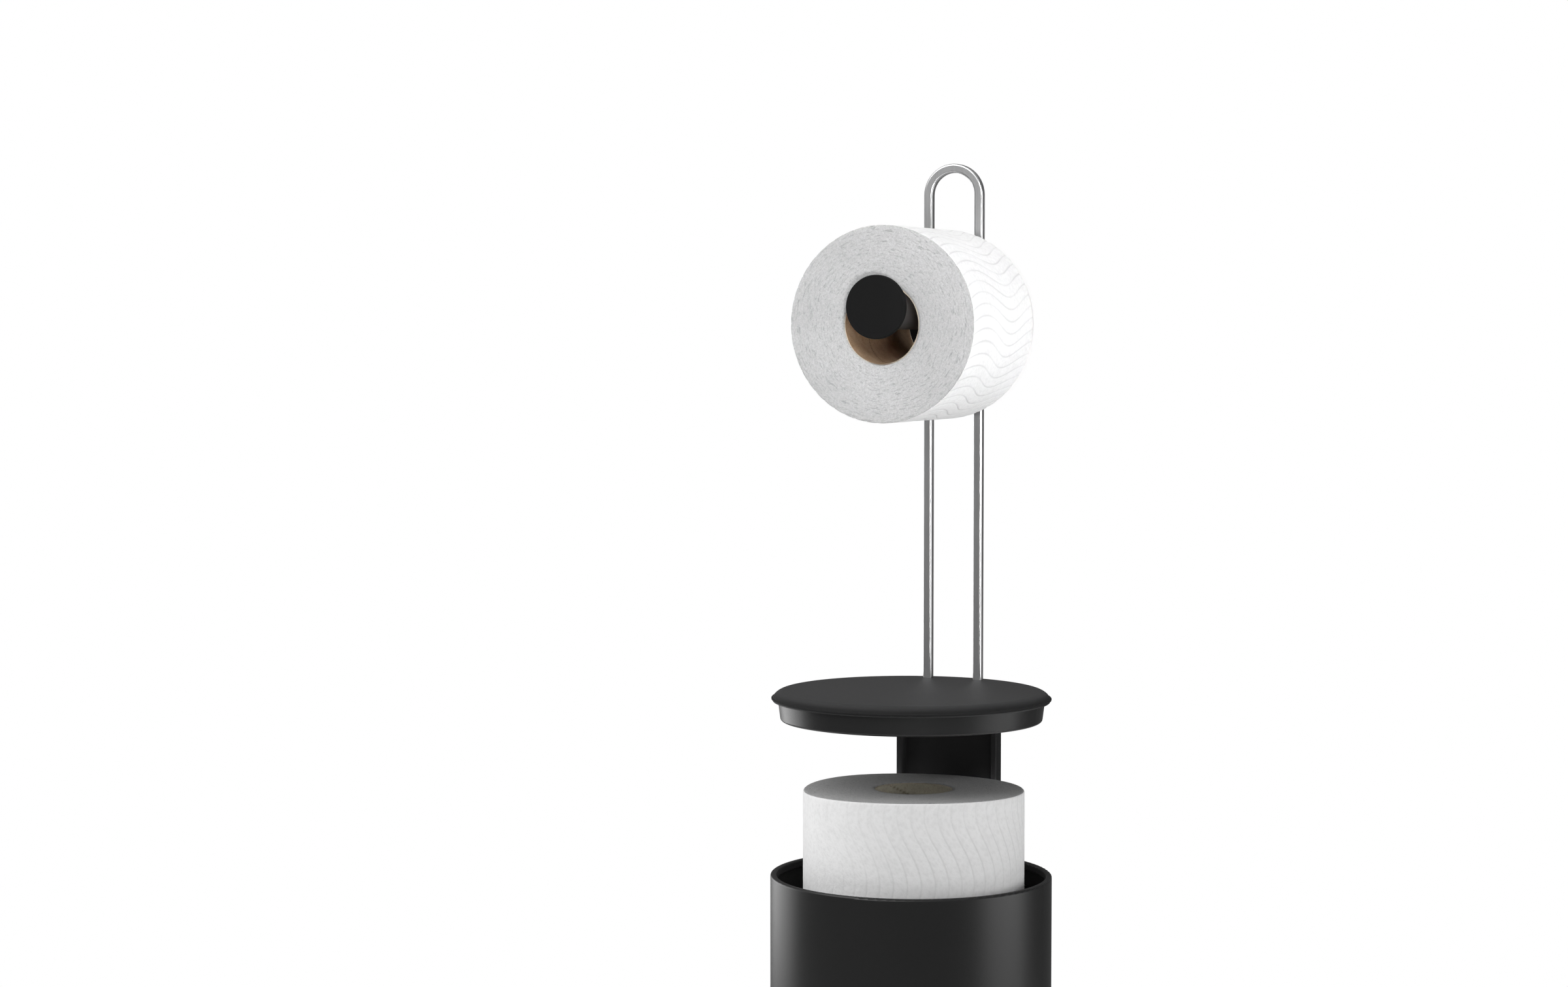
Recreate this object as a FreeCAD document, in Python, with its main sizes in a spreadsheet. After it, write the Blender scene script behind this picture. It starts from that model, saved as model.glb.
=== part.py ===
"""Free-standing toilet paper stand with a lift-up store, as a parametric document.

A round canister stands on a weighted base. Inside it runs a carriage: a round tray on a
channel-section spine, closed by a lid and lifted by a tall steel loop. The loop also carries
the roll arm. The model is stored with the carriage raised by `lift` above its closed position.

Frame: millimetres, +Z up, -Y is the front (the roll arm points there), origin at the centre
of the underside of the foot ring.
"""
import FreeCAD, Part
import Sketcher
import math
import os
from FreeCAD import Placement, Rotation, Vector

doc = FreeCAD.newDocument("PaperStand")

# ---------------------------------------------------------------- driving dimensions
DIMS = [
    # canister and base
    ("can_rad", 84.5, "outer radius of the canister"),
    ("can_wall", 1.0, "steel wall of the canister"),
    ("rim_top", 371.0, "height of the canister's rim"),
    ("rim_wide", 3.8, "radial width of the rolled rim"),
    ("rim_deep", 4.6, "height of the rolled rim"),
    ("rim_round", 1.2, "rounding of the rim"),
    ("can_foot", 4.8, "lower edge of the steel tube"),
    ("floor_z", 9.8, "underside of the canister's floor"),
    ("floor_th", 1.0, "floor sheet"),
    ("floor_rad", 83.35, "outside of the floor's flange"),
    ("floor_lip", 15.8, "top of the floor's flange"),
    ("ballast_rad", 78.5, "ballast disc radius"),
    ("ballast_z", 4.8, "underside of the ballast disc"),
    ("ballast_th", 4.8, "ballast disc thickness"),
    ("cover_z", 1.6, "underside of the base cover"),
    ("cover_rad", 84.1, "base cover radius"),
    ("foot_in", 66.0, "foot ring inner radius"),
    ("foot_out", 80.2, "foot ring outer radius"),
    ("foot_th", 2.4, "foot ring thickness"),
    ("base_pcr", 55.0, "base screw circle radius"),
    # guide rails
    ("rail_in", 36.0, "inner face of a rail, from the middle plane"),
    ("rail_out", 50.0, "outer limit of a rail before it follows the wall"),
    ("rail_y0", 56.4, "front of the rails"),
    ("rail_y1", 70.5, "back of the rails"),
    ("rail_z0", 16.2, "lower end of the rails"),
    ("rail_z1", 356.3, "upper end of the rails"),
    ("rail_rad", 83.35, "the rails' backs follow the wall at this radius"),
    ("slot_y0", 59.8, "front of the rail's groove"),
    ("slot_y1", 64.8, "back of the rail's groove"),
    ("slot_deep", 5.6, "depth of the rail's groove"),
    ("pin_rad", 1.5, "stop pin radius"),
    ("pin_z", 351.3, "height of the stop pins"),
    # lid, in the raised position
    ("lid_top", 481.6, "flat top of the lid"),
    ("lid_rad", 83.9, "widest radius of the lid"),
    ("lid_wide", 477.5, "height where the lid is widest"),
    ("lid_under", 476.4, "underside of the lid's flange"),
    ("lid_vertex", 80.8, "radius where the shoulder's tangents meet"),
    ("lid_round", 7.5, "radius of the lid's shoulder"),
    ("lid_ledge", 0.9, "width of the flat lip round the lid's foot"),
    ("lid_th", 2.0, "lid wall"),
    ("plug_top", 80.0, "plug radius under the flange"),
    ("plug_low", 78.4, "plug radius at its foot"),
    ("plug_z", 463.9, "underside of the plug"),
    ("plug_th", 2.0, "plug wall and floor"),
    ("gasket_th", 0.8, "gasket thickness"),
    # lift loop
    ("rod_side", 5.5, "side of the loop's square rod"),
    ("rod_round", 1.2, "corner radius of the rod"),
    ("leg_x", 16.5, "middle of a leg from the middle plane"),
    ("leg_y", 69.0, "middle of the legs behind the axis"),
    ("bend_z", 779.8, "height of the bend's centre"),
    ("leg_end", 386.0, "lower end of the legs"),
    ("leg_gap", 0.12, "clearance beside a leg in the clamp"),
    ("leg_hole", 5.74, "side of the square holes that the legs pass through"),
    # spine
    ("spine_half", 33.2, "half width of the spine"),
    ("spine_y0", 57.4, "front of the spine"),
    ("spine_y1", 66.1, "back of the spine"),
    ("spine_lip", 4.0, "width of the spine's edge ribs"),
    ("spine_web", 1.9, "thickness of the spine's web"),
    ("boss_half", 13.3, "half width of the clamp boss"),
    ("boss_y", 71.4, "back of the clamp boss"),
    ("clamp_half", 23.5, "half width of the loop clamp"),
    ("clamp_y", 75.6, "back of the loop clamp"),
    ("clamp_z0", 390.0, "lower end of the loop clamp"),
    ("clamp_z1", 448.0, "upper end of the loop clamp"),
    # tray
    ("tray_z", 117.0, "underside of the tray"),
    ("tray_th", 3.0, "tray floor"),
    ("tray_rad", 78.0, "tray radius"),
    ("tray_rim", 9.0, "height of the tray's rim above its floor"),
    ("mat_th", 1.0, "tray mat"),
    ("bump_rad", 79.9, "outer radius of the tray's felt edge"),
    ("shoe_z0", 121.4, "lower end of the glide shoes"),
    ("shoe_z1", 138.4, "upper end of the glide shoes"),
    # roll arm
    ("arm_z", 710.5, "height of the arm's axis"),
    ("arm_rad", 13.0, "arm radius"),
    ("arm_wall", 2.0, "arm tube wall"),
    ("arm_back", 63.0, "front of the bracket"),
    ("arm_front", -53.7, "back of the end disc"),
    ("cap_th", 3.4, "end disc thickness"),
    ("cap_rad", 18.6, "end disc radius"),
    ("plate_rad", 34.0, "radius of the front bracket, which keeps the roll off the legs"),
    ("brk_rad", 22.7, "rear bracket radius"),
    ("brk_back", 75.6, "back of the rear bracket"),
    # rolls
    ("roll_w", 101.0, "width of a roll"),
    ("core_in", 23.1, "inner radius of a core"),
    ("core_out", 23.8, "outer radius of a core"),
    ("used_rad", 57.7, "radius of the roll on the arm"),
    ("full_rad", 66.3, "radius of a stored roll"),
    ("roll_round", 2.4, "rounding of a roll's edges"),
    ("used_z", 700.5, "height of the hanging roll's axis"),
    ("used_y", 53.2, "back face of the hanging roll"),
    ("stack_mid", 1.6, "how far the middle stored roll stands to the right"),
    ("stack_x", 5.1, "how far the top stored roll stands to the right"),
    ("stack_y", -8.4, "how far in front of the axis the stored rolls stand"),
]
sheet = doc.addObject("Spreadsheet::Sheet", "Sizes")
for row, (alias, value, note) in enumerate(DIMS, 1):
    sheet.set("A%d" % row, alias)
    sheet.set("B%d" % row, str(value))
    sheet.set("C%d" % row, note)
    sheet.setAlias("B%d" % row, alias)
doc.recompute()
VALUE = {alias: value for alias, value, note in DIMS}


def num(text):
    """Value of a sum such as 'can_rad - 2*can_wall + 0.5'."""
    total, sign = 0.0, 1.0
    for word in str(text).split():
        if word in "+-":
            sign = 1.0 if word == "+" else -1.0
            continue
        product = 1.0
        for factor in word.split("*"):
            neg = factor.startswith("-")
            factor = factor.lstrip("-")
            product *= VALUE[factor] if factor in VALUE else float(factor)
            product *= -1.0 if neg else 1.0
        total += sign * product
        sign = 1.0
    return total


def fc(text):
    """The same sum as an expression on the sheet's cells."""
    out = []
    for word in str(text).split():
        if word in "+-":
            out.append(word)
            continue
        parts = []
        for factor in word.split("*"):
            neg = factor.startswith("-")
            factor = factor.lstrip("-")
            name = "Sizes." + factor if factor in VALUE else repr(float(factor))
            parts.append(("-" if neg else "") + name)
        out.append("(" + " * ".join(parts) + ")")
    return " ".join(out)


# ---------------------------------------------------------------- helpers
NODES = []


def node(obj, label, placement=None):
    obj.Label = label
    if placement is not None:
        obj.Placement = placement
    NODES.append(obj)
    return obj


def body(label, placement=None):
    b = doc.addObject("PartDesign::Body", label)
    return node(b, label, placement)


def sketch(b, name, plane, offset=None):
    sk = b.newObject("Sketcher::SketchObject", name)
    face = [f for f in b.Origin.OriginFeatures if f.Role == plane][0]
    sk.AttachmentSupport = [(face, "")]
    sk.MapMode = "FlatFace"
    if offset is not None:
        sk.AttachmentOffset = Placement(Vector(0, 0, num(offset)), Rotation())
        sk.setExpression(".AttachmentOffset.Base.z", fc(offset))
    return sk


def pin_point(sk, geo, pos, x, y):
    for kind, text, axis in (("DistanceX", x, -2), ("DistanceY", y, -1)):
        value = num(text)
        if abs(value) < 1e-9:
            sk.addConstraint(Sketcher.Constraint("PointOnObject", geo, pos, axis))
        else:
            i = sk.addConstraint(Sketcher.Constraint(kind, geo, pos, value))
            sk.setExpression("Constraints[%d]" % i, fc(text))


def polygon(sk, points):
    corners = [Vector(num(x), num(y), 0) for x, y in points]
    count, first = len(corners), sk.GeometryCount
    for i in range(count):
        sk.addGeometry(Part.LineSegment(corners[i], corners[(i + 1) % count]), False)
    for i in range(count):
        sk.addConstraint(Sketcher.Constraint("Coincident", first + i, 2, first + (i + 1) % count, 1))
    for i, (x, y) in enumerate(points):
        pin_point(sk, first + i, 1, x, y)


def circle(sk, x, y, r):
    g = sk.addGeometry(Part.Circle(Vector(num(x), num(y), 0), Vector(0, 0, 1), num(r)), False)
    pin_point(sk, g, 3, x, y)
    i = sk.addConstraint(Sketcher.Constraint("Radius", g, num(r)))
    sk.setExpression("Constraints[%d]" % i, fc(r))


def rounded(sk, x, y, w, h, r):
    """A rounded rectangle about (x, y): four lines and four tangent arcs."""
    cx, cy, hw, hh, q = num(x), num(y), num(w) / 2, num(h) / 2, num(r)
    first = sk.GeometryCount
    lines = [
        ((cx - hw + q, cy - hh), (cx + hw - q, cy - hh)),
        ((cx + hw, cy - hh + q), (cx + hw, cy + hh - q)),
        ((cx + hw - q, cy + hh), (cx - hw + q, cy + hh)),
        ((cx - hw, cy + hh - q), (cx - hw, cy - hh + q)),
    ]
    for a, c in lines:
        sk.addGeometry(Part.LineSegment(Vector(a[0], a[1], 0), Vector(c[0], c[1], 0)), False)
    centres = [(cx + hw - q, cy - hh + q, -90), (cx + hw - q, cy + hh - q, 0), (cx - hw + q, cy + hh - q, 90), (cx - hw + q, cy - hh + q, 180)]
    for ax, ay, start in centres:
        arc = Part.ArcOfCircle(Part.Circle(Vector(ax, ay, 0), Vector(0, 0, 1), q), math.radians(start), math.radians(start + 90))
        sk.addGeometry(arc, False)
    for i in range(4):
        line, arc, after = first + i, first + 4 + i, first + (i + 1) % 4
        sk.addConstraint(Sketcher.Constraint("Tangent", line, 2, arc, 1))
        sk.addConstraint(Sketcher.Constraint("Tangent", arc, 2, after, 1))
    sk.addConstraint(Sketcher.Constraint("Horizontal", first))
    sk.addConstraint(Sketcher.Constraint("Vertical", first + 1))
    sk.addConstraint(Sketcher.Constraint("Horizontal", first + 2))
    for i in range(1, 4):
        sk.addConstraint(Sketcher.Constraint("Equal", first + 4, first + 4 + i))
    i = sk.addConstraint(Sketcher.Constraint("Radius", first + 4, q))
    sk.setExpression("Constraints[%d]" % i, fc(r))
    # the four flats sit at x -+ w/2 and y -+ h/2
    for g, kind, base, size, sign in ((0, "DistanceY", y, h, "-0.5*"), (2, "DistanceY", y, h, "0.5*"), (1, "DistanceX", x, w, "0.5*"), (3, "DistanceX", x, w, "-0.5*")):
        text = "%s + %s%s" % (base, sign, size)
        i = sk.addConstraint(Sketcher.Constraint(kind, first + g, 1, num(text)))
        sk.setExpression("Constraints[%d]" % i, fc(text))


def revolve(b, sk, name="Turn", angle=360.0, axis="V_Axis", reverse=False):
    f = b.newObject("PartDesign::Revolution", name)
    f.Profile = sk
    f.ReferenceAxis = (sk, [axis])
    f.Angle = angle
    f.Reversed = reverse
    sk.Visibility = False
    doc.recompute()
    return f


def pad(b, sk, length, name="Pad", reverse=False):
    f = b.newObject("PartDesign::Pad", name)
    f.Profile = sk
    f.Length = num(length)
    f.setExpression("Length", fc(length))
    f.Reversed = reverse
    sk.Visibility = False
    doc.recompute()
    return f


def pocket(b, sk, length, name="Pocket", reverse=False):
    """Cuts, and stops the build if nothing was removed."""
    before = b.Shape.Volume
    f = b.newObject("PartDesign::Pocket", name)
    f.Profile = sk
    f.Type = 0
    f.Length = num(length)
    f.setExpression("Length", fc(length))
    f.Reversed = reverse
    sk.Visibility = False
    doc.recompute()
    if not b.Shape.Volume < before - 1e-3:
        raise RuntimeError("%s in %s removed nothing" % (name, b.Label))
    return f


def edges_at(shape, test):
    found = []
    for i, e in enumerate(shape.Edges, 1):
        if test(e):
            found.append("Edge%d" % i)
    return found


def ring_edge(radius, z, tol=0.02):
    """Test for a circular edge about Z of that radius and height."""

    def test(e):
        c = e.Curve
        return (
            isinstance(c, Part.Circle)
            and abs(c.Radius - radius) < tol
            and abs(c.Center.z - z) < tol
            and abs(c.Center.x) + abs(c.Center.y) < tol
        )

    return test


def fillet(b, base, tests, radius, name="Round"):
    names = []
    for t in tests:
        got = edges_at(base.Shape, t)
        if not got:
            raise RuntimeError("%s: no edge to round in %s" % (name, b.Label))
        names += got
    f = b.newObject("PartDesign::Fillet", name)
    f.Base = (base, sorted(set(names)))
    f.Radius = num(radius)
    f.setExpression("Radius", fc(radius))
    doc.recompute()
    return f


def turned(label, profile, rounds=(), placement=None):
    """A body turned about Z from a closed profile of (radius, height) corners."""
    b = body(label, placement)
    sk = sketch(b, label + "_profile", "XZ_Plane")
    polygon(sk, profile)
    last = revolve(b, sk, label + "_turn")
    for k, (corners, radius) in enumerate(rounds):
        last = fillet(b, last, [ring_edge(num(r), num(z)) for r, z in corners], radius, "%s_round%d" % (label, k))
    return b


def holes(b, name, base_z, depth, places, radius, reverse=True):
    """Round holes cut from the plane z = base_z. reverse True cuts upwards from it."""
    sk = sketch(b, name + "_sk", "XY_Plane", base_z)
    for x, y in places:
        circle(sk, x, y, radius)
    return pocket(b, sk, depth, name, reverse)


def box(name, x0, x1, y0, y1, z0, z1):
    o = doc.addObject("Part::Box", name)
    for prop, lo, hi, at in (("Length", x0, x1, "x"), ("Width", y0, y1, "y"), ("Height", z0, z1, "z")):
        o.setExpression(prop, "%s - (%s)" % (fc(hi), fc(lo)))
        o.setExpression(".Placement.Base.%s" % at, fc(lo))
    return o


def cylinder(name, r, length, at, axis="Z"):
    """A Part::Cylinder from `at`, running along +Z, +X or +Y, or the minus direction."""
    o = doc.addObject("Part::Cylinder", name)
    o.setExpression("Radius", fc(r))
    o.setExpression("Height", fc(length))
    turn = {
        "Z": Rotation(),
        "-Z": Rotation(Vector(1, 0, 0), 180),
        "Y": Rotation(Vector(1, 0, 0), -90),
        "-Y": Rotation(Vector(1, 0, 0), 90),
        "X": Rotation(Vector(0, 1, 0), 90),
    }[axis]
    o.Placement = Placement(Vector(*[num(v) for v in at]), turn)
    for v, k in zip(at, "xyz"):
        o.setExpression(".Placement.Base.%s" % k, fc(v))
    return o


def boolean(kind, name, base, tool):
    o = doc.addObject("Part::" + kind, name)
    o.Base, o.Tool = base, tool
    return o


def fuse(name, shapes):
    o = doc.addObject("Part::MultiFuse", name)
    o.Shapes = shapes
    return o


def compound(label, links):
    o = doc.addObject("Part::Compound", label)
    o.Links = links
    return node(o, label)


def screw(name, at, axis, shank_r, length, head_r, head_h, key_r):
    """Pan-head socket screw: `at` is the bearing face, `axis` the way the shank runs."""
    back = {"Z": (0, 0, -1), "-Z": (0, 0, 1), "Y": (0, -1, 0), "-Y": (0, 1, 0)}[axis]
    flip = {"Z": "-Z", "-Z": "Z", "Y": "-Y", "-Y": "Y"}[axis]
    shank = cylinder(name + "_shank", shank_r, length, at, axis)
    head = cylinder(name + "_head", head_r, head_h, at, flip)
    joined = boolean("Fuse", name + "_blank", shank, head)
    key = doc.addObject("Part::Prism", name + "_key")
    key.Polygon = 6
    key.setExpression("Circumradius", fc(key_r))
    key.setExpression("Height", fc(head_h))
    turn = {"Z": Rotation(Vector(1, 0, 0), 180), "-Z": Rotation(), "Y": Rotation(Vector(1, 0, 0), 90), "-Y": Rotation(Vector(1, 0, 0), -90)}[axis]
    start = [num(at[k]) + back[k] * num(head_h) * 0.35 for k in range(3)]
    key.Placement = Placement(Vector(*start), turn)
    for k, letter in enumerate("xyz"):
        key.setExpression(".Placement.Base.%s" % letter, "%s + %s * (%s) * 0.35" % (fc(at[k]), repr(float(back[k])), fc(head_h)))
    return boolean("Cut", name, joined, key)


# ---------------------------------------------------------------- canister and base
shell = turned(
    "canister_shell",
    [
        ("can_rad", "can_foot"),
        ("can_rad", "rim_top"),
        ("can_rad - rim_wide", "rim_top"),
        ("can_rad - rim_wide", "rim_top - rim_deep"),
        ("can_rad - can_wall", "rim_top - rim_deep"),
        ("can_rad - can_wall", "can_foot"),
    ],
    [
        ([("can_rad", "rim_top"), ("can_rad - rim_wide", "rim_top")], "rim_round"),
        ([("can_rad - rim_wide", "rim_top - rim_deep")], "0.7*rim_round"),
    ],
)

floor_ = turned(
    "canister_floor",
    [
        ("0", "floor_z"),
        ("floor_rad", "floor_z"),
        ("floor_rad", "floor_lip"),
        ("floor_rad - floor_th", "floor_lip"),
        ("floor_rad - floor_th", "floor_z + floor_th"),
        ("0", "floor_z + floor_th"),
    ],
    [([("floor_rad", "floor_z")], "1.6"), ([("floor_rad - floor_th", "floor_z + floor_th")], "0.6")],
)
BASE = [("0.70710678*base_pcr", "0.70710678*base_pcr"), ("-0.70710678*base_pcr", "0.70710678*base_pcr"), ("-0.70710678*base_pcr", "-0.70710678*base_pcr"), ("0.70710678*base_pcr", "-0.70710678*base_pcr")]
holes(floor_, "floor_taps", "floor_z - 1", "floor_th + 3", BASE, "2.05")

ballast = turned(
    "ballast_disc",
    [("0", "ballast_z"), ("ballast_rad", "ballast_z"), ("ballast_rad", "ballast_z + ballast_th"), ("0", "ballast_z + ballast_th")],
    [([("ballast_rad", "ballast_z"), ("ballast_rad", "ballast_z + ballast_th")], "0.8")],
)
holes(ballast, "ballast_holes", "ballast_z - 1", "ballast_th + 3", BASE, "2.6")

cover = turned(
    "base_cover",
    [
        ("0", "cover_z"),
        ("foot_in - 0.15", "cover_z"),
        ("foot_in - 0.15", "foot_th"),
        ("foot_out + 0.15", "foot_th"),
        ("foot_out + 0.15", "cover_z"),
        ("cover_rad", "cover_z"),
        ("cover_rad", "can_foot - 0.1"),
        ("can_rad - can_wall - 0.2", "can_foot - 0.1"),
        ("can_rad - can_wall - 0.2", "can_foot + 4.4"),
        ("can_rad - can_wall - 2.2", "can_foot + 4.4"),
        ("can_rad - can_wall - 2.2", "can_foot - 0.2"),
        ("0", "can_foot - 0.2"),
    ],
    [([("cover_rad", "cover_z")], "1.2")],
)
holes(cover, "cover_bores", "cover_z - 1", "2.4", BASE, "4.3")
holes(cover, "cover_holes", "cover_z - 1", "8", BASE, "2.3")

turned(
    "foot_ring",
    [("foot_in", "0"), ("foot_out", "0"), ("foot_out", "foot_th"), ("foot_in", "foot_th")],
    [([("foot_in", "0"), ("foot_out", "0")], "0.6")],
)

compound("base_screws", [screw("base_screw%d" % i, (x, y, "cover_z + 1.4"), "Z", "2", "8.6", "3.8", "1.3", "1.5") for i, (x, y) in enumerate(BASE)])

rails, pins = [], []
for side, s in (("r", 1), ("l", -1)):
    if s > 0:
        xa, xb, sa, sb = "rail_in", "rail_out", "rail_in - 1", "rail_in + slot_deep"
    else:
        xa, xb, sa, sb = "-1*rail_out", "-1*rail_in", "-1*rail_in - slot_deep", "1 - rail_in"
    block = box("rail_block_" + side, xa, xb, "rail_y0", "rail_y1", "rail_z0", "rail_z1")
    drum = cylinder("rail_drum_" + side, "rail_rad", "rail_z1", ("0", "0", "0"))
    fitted = boolean("Common", "rail_fitted_" + side, block, drum)
    slot = box("rail_slot_" + side, sa, sb, "slot_y0", "slot_y1", "rail_z0 - 1", "rail_z1 + 1")
    grooved = boolean("Cut", "rail_grooved_" + side, fitted, slot)
    px = ("" if s > 0 else "-1*") + "rail_in " + ("+" if s > 0 else "-") + " 0.5*slot_deep"
    pin = cylinder("pin_hole_" + side, "pin_rad + 0.02", "rail_y1", (px, "rail_y0 - 1", "pin_z"), "Y")
    rails.append(boolean("Cut", "rail_" + side, grooved, pin))
    pins.append(cylinder("pin_" + side, "pin_rad", "10.2", (px, "rail_y0 + 0.4", "pin_z"), "Y"))
compound("guide_rails", rails)
compound("stop_pins", pins)

# ---------------------------------------------------------------- lid
LIDBOSS = [("38", "32"), ("-38", "32"), ("-38", "-36"), ("38", "-36")]
lid = turned(
    "lid_cover",
    [
        ("0", "lid_top"),
        ("lid_vertex", "lid_top"),
        ("lid_rad - lid_ledge", "lid_wide + 0.2"),
        ("lid_rad", "lid_wide"),
        ("lid_rad", "lid_under"),
        ("plug_top + 0.2", "lid_under"),
        ("plug_top + 0.2", "lid_under + 1.3"),
        ("plug_top - 1.6", "lid_top - lid_th"),
        ("0", "lid_top - lid_th"),
    ],
    [([("lid_vertex", "lid_top")], "lid_round"), ([("lid_rad", "lid_wide")], "0.35"), ([("lid_rad", "lid_under")], "0.6")],
)
sk = sketch(lid, "lid_boss_sk", "XY_Plane", "plug_z + plug_th + 0.1")
for x, y in LIDBOSS:
    circle(sk, x, y, "4")
pad(lid, sk, "lid_top - lid_th - plug_z - plug_th + 0.9", "lid_bosses")
holes(lid, "lid_taps", "plug_z", "lid_top - lid_th - plug_z - 1", LIDBOSS, "1.52")


def leg_holes(b, name, base_z, depth):
    sk = sketch(b, name + "_sk", "XY_Plane", base_z)
    rounded(sk, "leg_x", "leg_y", "leg_hole", "leg_hole", "rod_round")
    rounded(sk, "-1*leg_x", "leg_y", "leg_hole", "leg_hole", "rod_round")
    return pocket(b, sk, depth, name, True)


plug = turned(
    "lid_plug",
    [
        ("0", "plug_z"),
        ("plug_low", "plug_z"),
        ("plug_low + 0.25", "plug_z + 2"),
        ("plug_top", "lid_under"),
        ("plug_top", "lid_under + 1.1"),
        ("plug_top - plug_th", "lid_under + 1.1"),
        ("plug_low - plug_th", "plug_z + plug_th"),
        ("0", "plug_z + plug_th"),
    ],
    [([("plug_low", "plug_z")], "1.5"), ([("plug_low - plug_th", "plug_z + plug_th")], "0.8")],
)
compound("lid_gasket", [boolean("Cut", "gasket_ring", cylinder("gasket_out", "lid_rad - 0.9", "gasket_th", ("0", "0", "lid_under - gasket_th")), cylinder("gasket_in", "plug_top + 0.25", "3", ("0", "0", "lid_under - 1.5")))])
compound("lid_screws", [screw("lid_screw%d" % i, (x, y, "plug_z"), "Z", "1.5", "9", "2.9", "1.5", "1.2") for i, (x, y) in enumerate(LIDBOSS)])
# seats for the lid screws, the spine screws and the legs
holes(plug, "plug_screw_holes", "plug_z - 1", "4", LIDBOSS, "1.6")
SPINE = [("19", "61.7"), ("-19", "61.7")]
holes(plug, "plug_spine_holes", "plug_z - 1", "4", SPINE, "2.1")


leg_holes(lid, "lid_leg_holes", "lid_top - 6", "12")
leg_holes(plug, "plug_leg_holes", "plug_z - 2", "8")

# ---------------------------------------------------------------- lift loop
loop = body("lift_loop")
bend = sketch(loop, "bend_section", "XY_Plane", "bend_z")
rounded(bend, "leg_x", "leg_y", "rod_side", "rod_side", "rod_round")
turn = revolve(loop, bend, "bend", 180.0)
if loop.Shape.BoundBox.ZMax < num("bend_z") + 5:
    turn.Reversed = True
    doc.recompute()
for side, s in (("right", ""), ("left", "-1*")):
    leg = sketch(loop, side + "_section", "XY_Plane", "bend_z")
    rounded(leg, s + "leg_x", "leg_y", "rod_side", "rod_side", "rod_round")
    pad(loop, leg, "bend_z - leg_end", side + "_leg", True)

# ---------------------------------------------------------------- spine and clamp
spine = body("carriage_spine")
sk = sketch(spine, "spine_section", "XY_Plane", "tray_z + tray_th")
polygon(
    sk,
    [
        ("-1*spine_half", "spine_y0"),
        ("spine_lip - spine_half", "spine_y0"),
        ("spine_lip - spine_half", "spine_y1 - spine_web"),
        ("spine_half - spine_lip", "spine_y1 - spine_web"),
        ("spine_half - spine_lip", "spine_y0"),
        ("spine_half", "spine_y0"),
        ("spine_half", "spine_y1"),
        ("-1*spine_half", "spine_y1"),
    ],
)
last = pad(spine, sk, "plug_z - tray_z - tray_th", "channel")


def upright(x, y, tol=0.02):
    def test(e):
        b = e.BoundBox
        return b.XLength < tol and b.YLength < tol and b.ZLength > 20 and abs(b.XMin - x) < tol and abs(b.YMin - y) < tol

    return test


half, lip = num("spine_half"), num("spine_lip")
y0, y1, yw = num("spine_y0"), num("spine_y1"), num("spine_y1 - spine_web")
last = fillet(spine, last, [upright(s * x, y) for s in (1, -1) for x, y in ((half, y0), (half - lip, y0), (half, y1))], "0.9", "edge_rounds")
last = fillet(spine, last, [upright(s * (half - lip), yw) for s in (1, -1)], "0.8", "root_rounds")
for name, z0, tall in (("head_block", "plug_z - 12", "12"), ("foot_block", "tray_z + tray_th", "12")):
    sk = sketch(spine, name + "_sk", "XY_Plane", z0)
    polygon(sk, [("0.5 - spine_half", "spine_y0 + 0.6"), ("spine_half - 0.5", "spine_y0 + 0.6"), ("spine_half - 0.5", "spine_y1 - 0.4"), ("0.5 - spine_half", "spine_y1 - 0.4")])
    pad(spine, sk, tall, name)
sk = sketch(spine, "boss_sk", "XY_Plane", "clamp_z0 + 2")
polygon(sk, [("-1*boss_half", "spine_y1 - 0.5"), ("boss_half", "spine_y1 - 0.5"), ("boss_half", "boss_y"), ("-1*boss_half", "boss_y")])
pad(spine, sk, "clamp_z1 - clamp_z0 - 4", "clamp_boss")
holes(spine, "head_taps", "plug_z - 10.5", "12", SPINE, "1.98")
holes(spine, "foot_taps", "tray_z + tray_th - 1", "11.5", SPINE, "1.98")
CLAMP = [("6.6", "clamp_z0 + 9"), ("-6.6", "clamp_z0 + 9"), ("6.6", "clamp_z1 - 9"), ("-6.6", "clamp_z1 - 9")]
sk = sketch(spine, "boss_taps_sk", "XZ_Plane", "-1*boss_y - 1")
for x, z in CLAMP:
    circle(sk, x, z, "1.48")
pocket(spine, sk, "5", "boss_taps", True)

clamp = body("loop_clamp")
sk = sketch(clamp, "clamp_section", "XY_Plane", "clamp_z0")
inner = "leg_x + 0.5*rod_side + leg_gap"
polygon(
    sk,
    [
        ("-1*clamp_half", "spine_y1 + 0.1"),
        ("-1*leg_x - 0.5*rod_side - leg_gap", "spine_y1 + 0.1"),
        ("-1*leg_x - 0.5*rod_side - leg_gap", "leg_y + 0.5*rod_side + 0.08"),
        (inner, "leg_y + 0.5*rod_side + 0.08"),
        (inner, "spine_y1 + 0.1"),
        ("clamp_half", "spine_y1 + 0.1"),
        ("clamp_half", "clamp_y"),
        ("-1*clamp_half", "clamp_y"),
    ],
)
last = pad(clamp, sk, "clamp_z1 - clamp_z0", "clamp_pad")
last = fillet(clamp, last, [upright(s * num("clamp_half"), num("clamp_y")) for s in (1, -1)], "2.6", "clamp_sides")


def outline(y, z):
    def test(e):
        b = e.BoundBox
        return b.ZLength < 0.02 and abs(b.ZMin - z) < 0.02 and b.YMax > y - 0.01 and b.YLength < 2.8 and b.YMin > y - 2.8

    return test


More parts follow.
